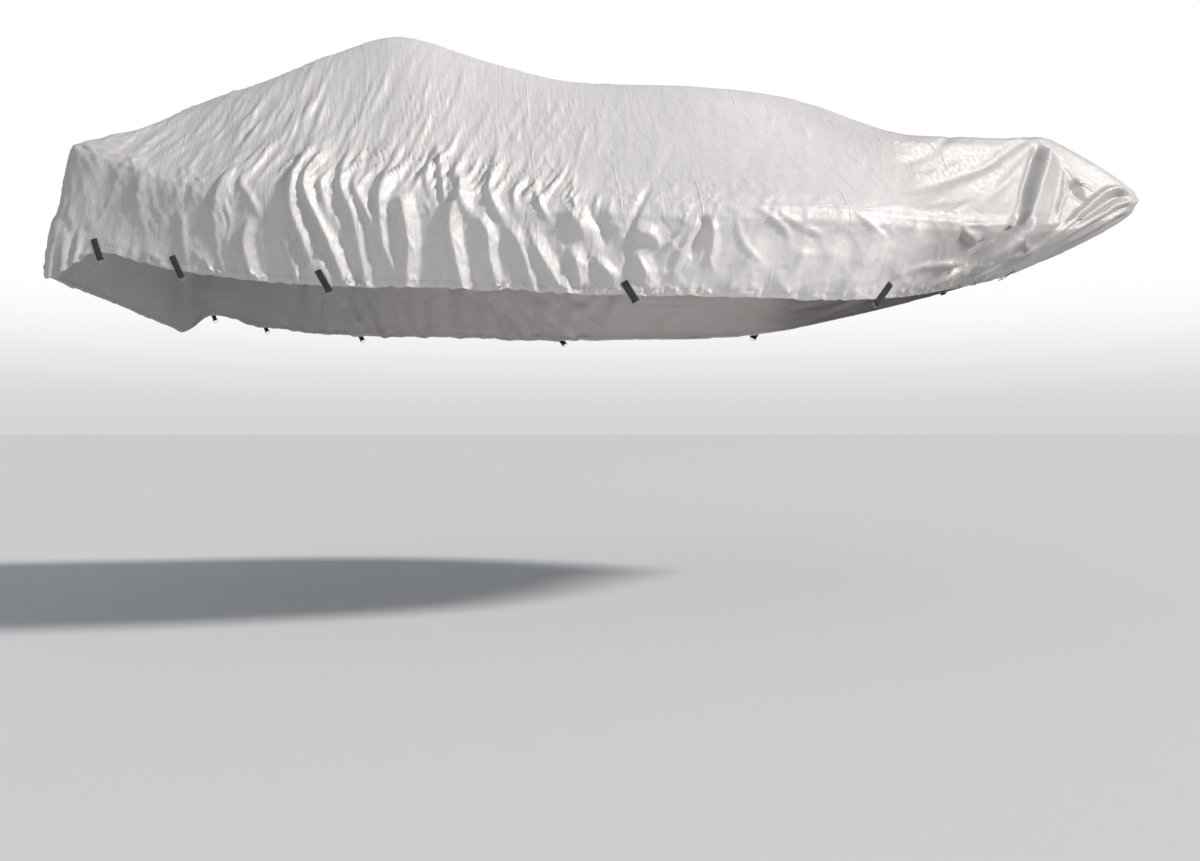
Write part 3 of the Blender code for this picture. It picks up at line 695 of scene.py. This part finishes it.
def press_under_tabs(points, tabs):
    """Draws the cloth up or down to lie flat behind each tab that is sewn to it."""
    beside, over, under = PRESS_MARGINS
    for tab, _, _, place in tabs:
        back = np.array(place.inverted())
        local = points @ back[:3, :3].T + back[:3, 3]
        outside = np.maximum(np.abs(local[:, 2]) - 0.5 * tab.width - beside, 0)
        above = np.maximum(-local[:, 0] - tab.length - over, 0) + np.maximum(local[:, 0] - under, 0)
        near = smooth_step(1 - np.hypot(outside, above) / PRESS_FADE) * (np.abs(local[:, 1]) < PRESS_REACH)
        shift = (-PRESS_BEHIND - local[:, 1]) * near
        points += shift[:, None] * np.array(place)[None, :3, 1]


# Materials.

class Nodes:
    """A short way to add and join the nodes of one material."""

    def __init__(self, name, colour, roughness, metallic=0.0):
        self.material = bpy.data.materials.new(name)
        self.material.use_nodes = True
        self.tree = self.material.node_tree
        self.shader = self.tree.nodes["Principled BSDF"]
        self.shader.inputs["Base Color"].default_value = (*colour, 1)
        self.shader.inputs["Roughness"].default_value = roughness
        self.shader.inputs["Metallic"].default_value = metallic

    def add(self, kind, **settings):
        node = self.tree.nodes.new(kind)
        for key, value in settings.items():
            setattr(node, key, value)
        return node

    def join(self, source, target):
        self.tree.links.new(source, target)

    def feed(self, node, values):
        for key, value in values.items():
            if isinstance(value, bpy.types.NodeSocket):
                self.join(value, node.inputs[key])
            else:
                node.inputs[key].default_value = value
        return node

    def math(self, operation, first, second=0.5, clamp=False):
        node = self.add("ShaderNodeMath", operation=operation, use_clamp=clamp)
        self.feed(node, {0: first, 1: second})
        return node.outputs[0]

    def mapped(self, vector, scale=(1, 1, 1), turn=0.0):
        node = self.add("ShaderNodeMapping")
        self.feed(node, {"Vector": vector, "Rotation": (0, 0, turn), "Scale": scale})
        return node.outputs[0]

    def noise(self, vector, scale, detail=4.0, roughness=0.55, distortion=0.0):
        node = self.add("ShaderNodeTexNoise")
        values = {"Vector": vector, "Scale": scale, "Detail": detail, "Roughness": roughness}
        return self.feed(node, {**values, "Distortion": distortion}).outputs["Fac"]

    def range(self, value, low, high, to_low=0.0, to_high=1.0):
        node = self.add("ShaderNodeMapRange", interpolation_type="SMOOTHSTEP")
        keys = {"Value": value, "From Min": low, "From Max": high, "To Min": to_low, "To Max": to_high}
        return self.feed(node, keys).outputs["Result"]

    def mix(self, share, first, second):
        node = self.add("ShaderNodeMix", data_type="RGBA")
        share_in, first_in, second_in = [socket for socket in node.inputs if socket.enabled]
        for socket, value in ((share_in, share), (first_in, first), (second_in, second)):
            if isinstance(value, bpy.types.NodeSocket):
                self.join(value, socket)
            else:
                socket.default_value = value if socket is share_in else (*value[:3], 1)
        return next(socket for socket in node.outputs if socket.enabled)

    def bands(self, vector, direction, scale, **more):
        node = self.add("ShaderNodeTexWave", wave_type="BANDS", bands_direction=direction)
        return self.feed(node, {"Vector": vector, "Scale": scale, **more}).outputs["Fac"]

    def metres(self, uv_map):
        """A piece's own coordinates in metres, whole and as two numbers."""
        place = self.add("ShaderNodeUVMap", uv_map=uv_map).outputs[0]
        split = self.feed(self.add("ShaderNodeSeparateXYZ"), {0: place})
        return place, split.outputs[0], split.outputs[1]

    def finish(self, **sockets):
        """Joins the last nodes to the shader and gives the material."""
        for key, value in sockets.items():
            self.join(value, self.shader.inputs[key.replace("_", " ")])
        return self.material

    def bump(self, height, distance, strength=1.0, below=None):
        node = self.add("ShaderNodeBump")
        values = {"Height": height, "Distance": distance, "Strength": strength}
        if below is not None:
            values["Normal"] = below
        return self.feed(node, values).outputs[0]


def silver_cloth(settings):
    """Creased silver-coated cloth, with painted shade towards the stern and over the bow and painted light on
    the low drop forward. Its coordinates are metres along the hem and up the cloth.
    """
    n = Nodes("silver_cloth", settings.cloth_colour, settings.cloth_roughness, 0.10)
    n.shader.inputs["Sheen Weight"].default_value = 0.12
    n.shader.inputs["Sheen Roughness"].default_value = 0.5
    place, from_stern, up = n.metres("cloth_metres")
    # Painted shade: the colour darkens towards the stern
    shadowed = n.range(from_stern, *map(reach_at, SHADED_AFT), 1.0, 0.0)
    # Painted shade: the colour darkens over the bow; this mask is 1 aft of the bow and 0 over it
    bow = n.range(from_stern, *map(reach_at, SHADED_BOW), 1.0, 0.0)
    forward = n.range(from_stern, *map(reach_at, SMOOTH_FORWARD))
    dusty = n.range(n.noise(place, 1.3, 5.0, 0.6), 0.35, 0.75, 0.0, 0.25)
    # The darker colour carries the painted shade aft together with the real dust
    tone = n.mix(n.math("ADD", shadowed, dusty, clamp=True), settings.cloth_colour, settings.shade_and_dust_colour)
    shaded = n.mix(bow, settings.bow_shade_colour, tone)
    patches = n.range(n.noise(place, 9.0, 6.0, 0.7), 0.35, 0.75, 0.0, 0.18)
    mottled = n.mix(patches, shaded, settings.shade_and_dust_colour)
    # Painted light: a lighter colour on the low drop forward of the smooth x and aft of the bow
    low = n.range(up, *LIT_DROP, 1.0, 0.0)
    clean = n.math("MULTIPLY", n.math("MULTIPLY", forward, low), n.math("MULTIPLY", bow, LIT_DROP_SHARE))
    shade = n.mix(clean, mottled, settings.lit_drop_colour)
    dash = n.range(n.math("PINGPONG", from_stern, HEM_STITCH), *HEM_STITCH_EDGES)
    seam = n.range(n.math("ABSOLUTE", n.math("SUBTRACT", up, HEM_SEAM_UP)), *HEM_SEAM_EDGES, 1.0, 0.0)
    stitched = n.mix(n.math("MULTIPLY", n.math("MULTIPLY", dash, seam), 0.8), shade, HEM_THREAD)

    streak = n.noise(n.mapped(place, WRINKLE_SCALE, WRINKLE_TURN), 1.0, 3.0, 0.6, 0.4)
    crest = n.math("ABSOLUTE", n.math("SUBTRACT", streak, 0.5))
    crisp = n.math("SUBTRACT", 1.0, n.math("MULTIPLY", crest, 5.0), clamp=True)
    crisp = n.math("MULTIPLY", crisp, n.math("SUBTRACT", 1.0, n.math("MULTIPLY", forward, WRINKLE_CALM)))
    crumple = n.noise(place, CRUMPLE_SCALE, 4.0, 0.55)
    wrinkles, crumples = n.math("MULTIPLY", crisp, WRINKLE_DEPTH), n.math("MULTIPLY", crumple, CRUMPLE_DEPTH)
    height = n.math("ADD", wrinkles, crumples)
    lines = [n.range(n.math("PINGPONG", way, half), 0.0, PACKING_WIDTH, 1.0, 0.0)
             for way, half in zip((from_stern, up), PACKING_SQUARE)]
    kept = n.range(n.noise(place, 3.1, 2.0), 0.52, 0.60)
    packed = n.math("MULTIPLY", n.math("MAXIMUM", *lines), kept)
    creased = n.bump(n.math("ADD", height, n.math("MULTIPLY", packed, PACKING_DEPTH)), 1.0, 0.9)
    threads = [n.bands(place, direction, WEAVE_SCALE, Distortion=0.3) for direction in "XY"]
    cloth = n.math("ADD", n.math("MULTIPLY", *threads), n.noise(place, GRAIN_SCALE, 3.0, 0.6))
    rough = n.range(crumple, 0.3, 0.7, settings.cloth_roughness - 0.06, settings.cloth_roughness + 0.10)
    return n.finish(Base_Color=stitched, Normal=n.bump(cloth, WEAVE_DEPTH, 0.5, creased), Roughness=rough)


def webbing(name, colour, metres_across):
    """Woven webbing: herringbone ribs across it, fuzz and paler worn edges."""
    n = Nodes(name, colour, 0.72)
    n.shader.inputs["Sheen Weight"].default_value = 0.05
    place, along, across = n.metres("web_metres")
    rows = n.math("PINGPONG", across, metres_across / 8)
    slant = n.feed(n.add("ShaderNodeCombineXYZ"), {0: n.math("ADD", along, rows)}).outputs[0]
    twill = n.bands(slant, "X", 150.0, Distortion=0.4, Detail=2.0)
    fuzz = n.noise(place, 900.0, 4.0, 0.7)
    worn = n.noise(place, 60.0, 4.0, 0.6)
    edge = n.range(n.math("ABSOLUTE", across), metres_across * 0.42, metres_across * 0.5, 0.0, 0.5)
    pale = n.math("ADD", n.math("MULTIPLY", twill, 0.25), n.math("MULTIPLY", worn, 0.5))
    lighter = tuple(min(1.0, c * 2 + 0.004) for c in colour)
    shade = n.mix(n.math("ADD", pale, edge, clamp=True), colour, lighter)
    bump = n.bump(n.math("ADD", twill, n.math("MULTIPLY", fuzz, 0.35)), 0.0005, 0.8)
    return n.finish(Base_Color=shade, Normal=bump, Roughness=n.range(worn, 0.3, 0.7, 0.62, 0.82))


def plated_steel(colour):
    """Dulled plated wire with fine scratches and a few tarnished places."""
    n = Nodes("ring_steel", colour, 0.3, 1.0)
    place = n.add("ShaderNodeTexCoord").outputs["Object"]
    scratch = n.noise(n.mapped(place, (900, 900, 220)), 1.0, 3.0, 0.6)
    stain = n.noise(place, 240.0, 5.0, 0.65)
    shade = n.mix(n.range(stain, 0.5, 0.78), colour, TARNISH)
    rough = n.range(stain, 0.4, 0.75, 0.24, 0.48)
    return n.finish(Base_Color=shade, Roughness=rough, Normal=n.bump(scratch, 0.00006, 0.6))


def thread(colour):
    """Twisted thread of the tabs' stitching."""
    n = Nodes("thread", colour, 0.6)
    twist = n.noise(n.add("ShaderNodeTexCoord").outputs["Object"], 1500.0, 2.0)
    shade = n.mix(twist, colour, tuple(c * 2 for c in colour))
    return n.finish(Base_Color=shade, Normal=n.bump(twist, 0.0001, 0.6))


def pale_floor(colour):
    """Plain floor with a faint tooth."""
    n = Nodes("pale_floor", colour, 0.85)
    tooth = n.noise(n.add("ShaderNodeTexCoord").outputs["Object"], 60.0, 3.0)
    return n.finish(Normal=n.bump(tooth, 0.0002, 0.3))


# Making pieces.

def new_piece(name, verts, faces, material, nodes, uv_name=None, uvs=None):
    """A mesh that rides on the body and stands for CAD nodes; uvs has one (u, v) for each vertex."""
    mesh = bpy.data.meshes.new(name)
    mesh.from_pydata([tuple(v) for v in verts], [], faces)
    mesh.shade_smooth()
    mesh.materials.append(material)
    if uvs is not None:
        layer = mesh.uv_layers.new(name=uv_name)
        index = np.empty(len(mesh.loops), dtype=np.int32)
        mesh.loops.foreach_get("vertex_index", index)
        layer.data.foreach_set("uv", np.asarray(uvs, dtype=np.float32)[index].ravel())
    piece = bpy.data.objects.new(name, mesh)
    bpy.context.scene.collection.objects.link(piece)
    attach(piece, "root")
    if nodes:
        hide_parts(*nodes)
    return piece


def cloth_rows():
    """The bay of each row of the cloth, and how far the casing swells there."""
    rows, swells = list(CASING_ROWS), list(CASING_SWELL)
    for start, end, count, power in ZONE_ROWS:
        rows += [start + (end - start) * (k / count) ** power for k in range(1, count + 1)]
        swells += [0.0] * count
    return np.array(rows), np.array(swells)


def column_reaches():
    """Where the columns stand around the girth, close together where the folds are."""
    edges, numbers = [0.0], [0.0]
    for x, spacing in COLUMN_SPACING:
        edges.append(reach_at(x))
        numbers.append(numbers[-1] + (edges[-1] - edges[-2]) / spacing)
    edges[-1] = HALF_WAY
    return np.interp(np.linspace(0, numbers[-1], COLUMNS + 1), numbers, edges)


def half_cloth(side, columns, rows, swells, settings, tabs):
    """One half of the cloth as columns by rows by xyz, with its folds."""
    base = base_points(GIRTH - columns if side > 0 else columns, rows)
    normals = -side * grid_normals(base)
    points, flat_normals = base.reshape(-1, 3), normals.reshape(-1, 3)
    lift, small = np.zeros(len(points)), np.zeros(len(points))
    gain = settings.fold_gain * (PORT_SHARE if side > 0 else 1.0)
    for crease in SIDE_FOLDS + PUFFS + BOW_FOLDS + CORNER_FOLDS:
        lift_crease(lift, points, crease, side, gain, PLEAT_PROFILE)
    chance = random.Random(SEED + side)
    for bunch in BUNCHES:
        for crease in bunch_creases(bunch, chance):
            lift_crease(small, points, crease, side, gain, CREASE_PROFILE)
    up, along = np.tile(rows, len(columns)), np.repeat(columns, len(rows))
    quiet = smooth_step((3.0 - up) / QUIET_BAYS[0]) * smooth_step(up / QUIET_BAYS[1])
    small += settings.crinkle_height * crinkles(points) * crinkle_share(points) * quiet
    lift += small * (1 - CALM_TOP * smooth_step((up - CALM_BAYS[0]) / CALM_BAYS[1]))
    lift += settings.facet_height * facets(points) * facet_share(points) * quiet
    lift += BROAD_HEIGHT * broad_waves(points) * quiet
    near_hem = smooth_step((HEM_ZONE - up) / HEM_ZONE) ** HEM_ZONE_POWER
    wave = np.array([noise.noise(Vector((a / GATHER_LENGTH, side * 3.0, 0))) for a in along])
    slow = np.array([noise.noise(Vector((a * SLOW_GATHERS, side * 5.0, 2))) for a in along])
    lift += settings.gather_height * near_hem * (wave * GATHER_LIFTS[0] + slow * GATHER_LIFTS[1])
    lift += np.tile(swells, len(columns))
    moved = points + flat_normals * lift[:, None]
    moved[:, 2] += near_hem * (GATHER_RISES[1] * slow + GATHER_RISES[0] * wave)
    at, half_width, depth = HEM_DROOP
    moved[:, 2] -= depth * smooth_step(1 - np.abs(along - reach_at(at)) / half_width) * near_hem
    press_under_tabs(moved, tabs)
    return moved.reshape(base.shape), normals


def add_return(half, normals):
    """Turns the hem's edge in and up behind the casing."""
    edge, out = half[:, :1], normals[:, :1]
    up = half[:, 1:2] - half[:, :1]
    up /= np.linalg.norm(up, axis=2, keepdims=True)
    inner = [edge + out * outward + up * rise for outward, rise in HEM_RETURN[::-1]]
    return np.concatenate(inner + [half], axis=1)


def metres_of(half):
    """Metres around and up the cloth at each vertex, for the cloth's coordinates."""
    steps = np.linalg.norm(np.diff(half, axis=1), axis=2)
    up = np.concatenate((np.zeros((len(half), 1)), np.cumsum(steps, axis=1)), axis=1)
    up -= up[:, len(HEM_RETURN):len(HEM_RETURN) + 1]
    return up


def grid_faces(index):
    """The four-sided faces of a grid of vertex numbers."""
    corners = (index[:-1, :-1], index[1:, :-1], index[1:, 1:], index[:-1, 1:])
    return np.stack(corners, axis=-1).reshape(-1, 4).tolist()


def make_cloth(settings, tabs):
    """The whole cloth: a fine starboard half and a plainer port half that share the stern, bow and ridge."""
    rows, swells = cloth_rows()
    columns = column_reaches()
    port_columns = columns[::PORT_STEP]
    halves, ups = [], []
    for side, own in ((-1, columns), (1, port_columns)):
        half = add_return(*half_cloth(side, own, rows, swells, settings, tabs))
        halves.append(half)
        ups.append(metres_of(half))
    starboard, port = halves
    height = starboard.shape[1]
    index = np.arange(len(starboard) * height).reshape(len(starboard), height)
    port_index = np.full((len(port), height), -1)
    port_index[0], port_index[-1] = index[0], index[-1]
    port_index[:, -1] = index[::PORT_STEP, -1]
    free = port_index < 0
    port_index[free] = index.size + np.arange(free.sum())
    verts = np.concatenate((starboard.reshape(-1, 3), port[free]))
    port_around = np.repeat(port_columns[:, None], height, axis=1)[free]
    around = np.concatenate((np.repeat(columns, height), port_around))
    uvs = np.stack((around, np.concatenate((ups[0].ravel(), ups[1][free]))), axis=1)
    faces = grid_faces(index) + grid_faces(port_index[::-1, :-1])
    for c in range(len(port) - 1):
        ridge = index[PORT_STEP * c:PORT_STEP * (c + 1) + 1, -1]
        faces.append([int(v) for v in (port_index[c + 1, -2], port_index[c, -2], *ridge)])
    cloth = new_piece(
        "cover_sheet", verts, faces, silver_cloth(settings), ["cover_cloth"], "cloth_metres", uvs)


def ribbon_mesh(line, width, thickness, place, across_cells):
    """A flat strip along a line of (x, y) points in its own plane, with rounded long edges."""
    loss, power = EDGE_ROUNDING
    profile = []
    for k in range(across_cells + 1):
        share = 2 * k / across_cells - 1
        profile.append((share * width / 2, thickness / 2 * (1 - loss * abs(share) ** power)))
    ring = profile + [(a, -o) for a, o in profile[::-1]]
    verts, uvs, gone = [], [], 0.0
    line = [Vector(point) for point in line]
    for n, point in enumerate(line):
        before, after = line[max(n - 1, 0)], line[min(n + 1, len(line) - 1)]
        heading = (after - before).normalized()
        out = Vector((-heading.y, heading.x))
        if n:
            gone += (point - line[n - 1]).length
        for across, outward in ring:
            spot = point + out * outward
            verts.append(place @ Vector((spot.x, spot.y, across)))
            uvs.append((gone, across))
    size = len(ring)
    faces = []
    for n in range(len(line) - 1):
        for k in range(size):
            a, b = n * size + k, n * size + (k + 1) % size
            faces.append((a, a + size, b + size, b))
    last = (len(line) - 1) * size
    faces += [tuple(range(size)), tuple(last + k for k in reversed(range(size)))]
    return verts, faces, uvs


def web_line(tab):
    """Down over the hem, round the ring's bar and back up behind, in fine steps."""
    bar = hang(tab)
    steps = round((tab.length + bar) / WEB_STEP)
    line = [(-tab.length + (tab.length + bar) * k / steps, 0.0) for k in range(steps)]
    for k in range(LOOP_STEPS + 1):
        turn = math.pi / 2 - k * math.pi / LOOP_STEPS
        line.append((bar + LOOP_RADIUS * math.cos(turn), LOOP_RADIUS * (math.sin(turn) - 1)))
    line += [(bar - LOOP_RETURN / 2, -2 * LOOP_RADIUS), (bar - LOOP_RETURN, -2 * LOOP_RADIUS)]
    return line


def stitch_places(tab, count):
    """Ends of the stitches of a tab's box and its cross, as (down, across) pairs."""
    beside, over, under = STITCH_INSETS
    right = tab.width / 2 - beside
    top, bottom = -tab.length + over, -under
    a, b, c, d = (top, -right), (top, right), (bottom, -right), (bottom, right)
    for start, end in ((a, c), (b, d), (a, b), (c, d), (a, d), (b, c)):
        length = math.dist(start, end)
        number = max(3, round(count * length / (bottom - top)))
        for k in range(number):
            shares = (k + STITCH_GAP) / number, (k + 1 - STITCH_GAP) / number
            yield [tuple(s + share * (e - s) for s, e in zip(start, end)) for share in shares]


def stitch_mesh(tab, place, count):
    """Small raised stitches on the outer face of the webbing."""
    verts, faces = [], []
    for (d0, a0), (d1, a1) in stitch_places(tab, count):
        heading = Vector((d1 - d0, a1 - a0)).normalized()
        side = Vector((-heading.y, heading.x)) * STITCH_HALF_WIDTH
        first = len(verts)
        for share, lift in STITCH_ARCH:
            d, a = d0 + share * (d1 - d0), a0 + share * (a1 - a0)
            for offset in (-1, 0, 1):
                up = STITCH_FLOOR + STITCH_HEIGHT * (lift + 0.2) * (1 - abs(offset))
                verts.append(place @ Vector((d + side.x * offset, up, a + side.y * offset)))
        corners = [first + 3 * k + j for k in range(3) for j in range(2)]
        faces += [(a, a + 1, a + 4, a + 3) for a in corners]
    return verts, faces


def tail_points(tab, place):
    """The loose tail's line: it leaves the loop behind the bar and runs along the hem with a slight wave."""
    behind = -2 * LOOP_RADIUS - 1.5 * TAIL_INSET
    start = Matrix.Translation((hang(tab) - TAIL_INSET, behind, TAIL_INSET - tab.width / 2))
    on_its_edge = Matrix(((1, 0, 0, 0), (0, 0, 1, 0), (0, -1, 0, 0), (0, 0, 0, 1)))
    shares = [k / TAIL_STEPS for k in range(TAIL_STEPS + 1)]
    drops = [TAIL_WAVE * math.sin(TAIL_TURN * share) + TAIL_DROOP * share for share in shares]
    return [(drop, -tab.tail * share) for drop, share in zip(drops, shares)], place @ start @ on_its_edge


def soft_sky(strength):
    """Soft light all round, behind a plain backdrop that pales upwards."""
    world = bpy.data.worlds.new("soft_sky")
    world.use_nodes = True
    tree = world.node_tree
    sky = tree.nodes["Background"]
    sky.inputs["Color"].default_value = SKY_COLOUR
    sky.inputs["Strength"].default_value = strength
    kinds = ("TexCoord", "SeparateXYZ", "MapRange", "Mix", "Background", "LightPath", "MixShader")
    place, up, rise, sweep, seen, path, mixed = [tree.nodes.new(f"ShaderNode{kind}") for kind in kinds]
    rise.inputs["From Max"].default_value = SWEEP_HEIGHT
    rise.interpolation_type = "SMOOTHSTEP"
    sweep.data_type = "RGBA"
    share, low, high = [socket for socket in sweep.inputs if socket.enabled]
    low.default_value, high.default_value = HORIZON_COLOUR, ZENITH_COLOUR
    colour = next(socket for socket in sweep.outputs if socket.enabled)
    joints = (
        (place.outputs["Generated"], up.inputs[0]), (up.outputs["Z"], rise.inputs["Value"]),
        (rise.outputs["Result"], share), (colour, seen.inputs["Color"]),
        (path.outputs["Is Camera Ray"], mixed.inputs[0]), (sky.outputs[0], mixed.inputs[1]),
        (seen.outputs[0], mixed.inputs[2]), (mixed.outputs[0], tree.nodes["World Output"].inputs["Surface"]),
    )
    for start, end in joints:
        tree.links.new(start, end)
    return world


# Operators.

class BOATCOVER_OT_stage(bpy.types.Operator):
    """Makes the camera, the pale floor and the soft light"""

    bl_idname = "boatcover.stage"
    bl_label = "Make stage"

    def execute(self, context):
        settings = context.scene.boatcover_stage
        lens = bpy.data.cameras.new("camera")
        lens.lens = settings.lens
        lens.sensor_width = SENSOR_WIDTH
        lens.clip_end = FLOOR_SIZE / 2
        camera = bpy.data.objects.new("camera", lens)
        camera.location = CAMERA_PLACE
        camera.rotation_euler = [math.radians(turn) for turn in CAMERA_TURN]
        context.scene.collection.objects.link(camera)
        context.scene.camera = camera
        floor_place = (*FLOOR_MIDDLE, CAMERA_PLACE[2] - settings.floor_drop)
        bpy.ops.mesh.primitive_plane_add(size=FLOOR_SIZE, location=floor_place)
        floor = context.object
        floor.name = "floor"
        floor.data.materials.append(pale_floor(settings.floor_colour))
        for name, share, angle, towards, colour in SUNS:
            light = bpy.data.lights.new(name, "SUN")
            light.energy = settings.key_strength * share
            light.angle = angle
            light.color = colour
            sun = bpy.data.objects.new(name, light)
            sun.rotation_mode = "QUATERNION"
            sun.rotation_quaternion = Vector(towards).to_track_quat("Z", "Y")
            context.scene.collection.objects.link(sun)
        context.scene.world = soft_sky(settings.sky_strength)
        context.scene.view_settings.view_transform = "Standard"
        return {"FINISHED"}


class BOATCOVER_OT_tails(bpy.types.Operator):
    """Makes the loose tails of the starboard tabs"""

    bl_idname = "boatcover.tails"
    bl_label = "Make tails"

    def execute(self, context):
        trim = context.scene.boatcover_trim
        material = webbing("black_tail", trim.web_colour, TAIL_WIDTH)
        for tab, side, name, place in all_tabs():
            if side > 0 or not tab.tail:
                continue
            line, matrix = tail_points(tab, place)
            verts, faces, uvs = ribbon_mesh(line, TAIL_WIDTH, TAIL_THICKNESS, matrix, TAIL_CELLS)
            piece = new_piece(f"loose_tail_{name}", verts, faces, material, [f"tail_{name}"],
                              "web_metres", uvs)
            path = [list(matrix @ Vector((x, y, 0))) for x, y in line]
            length = sum(math.dist(a, b) for a, b in zip(path, path[1:]))
            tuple(path[0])
        return {"FINISHED"}


class BOATCOVER_OT_cloth(bpy.types.Operator):
    """Makes the draped cloth with its folds and its elastic hem"""

    bl_idname = "boatcover.cloth"
    bl_label = "Make cloth"

    def execute(self, context):
        make_cloth(context.scene.boatcover_cloth, all_tabs())
        return {"FINISHED"}


class BOATCOVER_OT_tabs(bpy.types.Operator):
    """Makes the webbing tabs and their stitching"""

    bl_idname = "boatcover.tabs"
    bl_label = "Make tabs"

    def execute(self, context):
        trim = context.scene.boatcover_trim
        material = webbing("black_webbing", trim.web_colour, WEB_WIDTH)
        stitch = thread(trim.thread_colour)
        for tab, _, name, place in all_tabs():
            verts, faces, uvs = ribbon_mesh(web_line(tab), tab.width, WEB_THICKNESS, place, WEB_CELLS)
            new_piece(f"strap_{name}", verts, faces, material, [f"tab_{name}"],
                      "web_metres", uvs)
            verts, faces = stitch_mesh(tab, place, trim.stitches)
            new_piece(f"stitching_{name}", verts, faces, stitch, [])
        return {"FINISHED"}


class BOATCOVER_OT_rings(bpy.types.Operator):
    """Finishes the D-rings of the frame in plated steel"""

    bl_idname = "boatcover.rings"
    bl_label = "Finish rings"

    def execute(self, context):
        steel = plated_steel(context.scene.boatcover_trim.steel_colour)
        for _, _, name, _ in all_tabs():
            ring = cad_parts[f"ring_{name}"]
            for slot in ring.material_slots:
                slot.material = steel
            rounding = ring.modifiers.new("rounding", "SUBSURF")
            rounding.levels = rounding.render_levels = 1
            ring.data.shade_smooth()
        return {"FINISHED"}


class BOATCOVER_PT_panel(bpy.types.Panel):
    """Lists the cover's pieces and settings"""

    bl_idname = "BOATCOVER_PT_panel"
    bl_label = "Boat cover"
    bl_space_type = "VIEW_3D"
    bl_region_type = "UI"
    bl_category = "Boat cover"

    def draw(self, context):
        column = self.layout.column()
        for operator in OPERATORS:
            column.operator(operator.bl_idname)
        scene = context.scene
        for group in (scene.boatcover_cloth, scene.boatcover_trim, scene.boatcover_stage):
            box = column.box()
            for key in group.__annotations__:
                box.prop(group, key)


OPERATORS = (
    BOATCOVER_OT_stage, BOATCOVER_OT_tails, BOATCOVER_OT_cloth, BOATCOVER_OT_tabs, BOATCOVER_OT_rings,
)
CLASSES = (CoverSettings, TrimSettings, StageSettings, *OPERATORS, BOATCOVER_PT_panel)


def register():
    for made in CLASSES:
        bpy.utils.register_class(made)
    bpy.types.Scene.boatcover_cloth = PointerProperty(type=CoverSettings)
    bpy.types.Scene.boatcover_trim = PointerProperty(type=TrimSettings)
    bpy.types.Scene.boatcover_stage = PointerProperty(type=StageSettings)


def unregister():
    del bpy.types.Scene.boatcover_stage
    del bpy.types.Scene.boatcover_trim
    del bpy.types.Scene.boatcover_cloth
    for made in reversed(CLASSES):
        bpy.utils.unregister_class(made)


def main():
    register()
    bpy.ops.boatcover.stage()
    bpy.ops.boatcover.tails()
    bpy.ops.boatcover.cloth()
    bpy.ops.boatcover.tabs()
    bpy.ops.boatcover.rings()


if __name__ == "__main__":
    main()
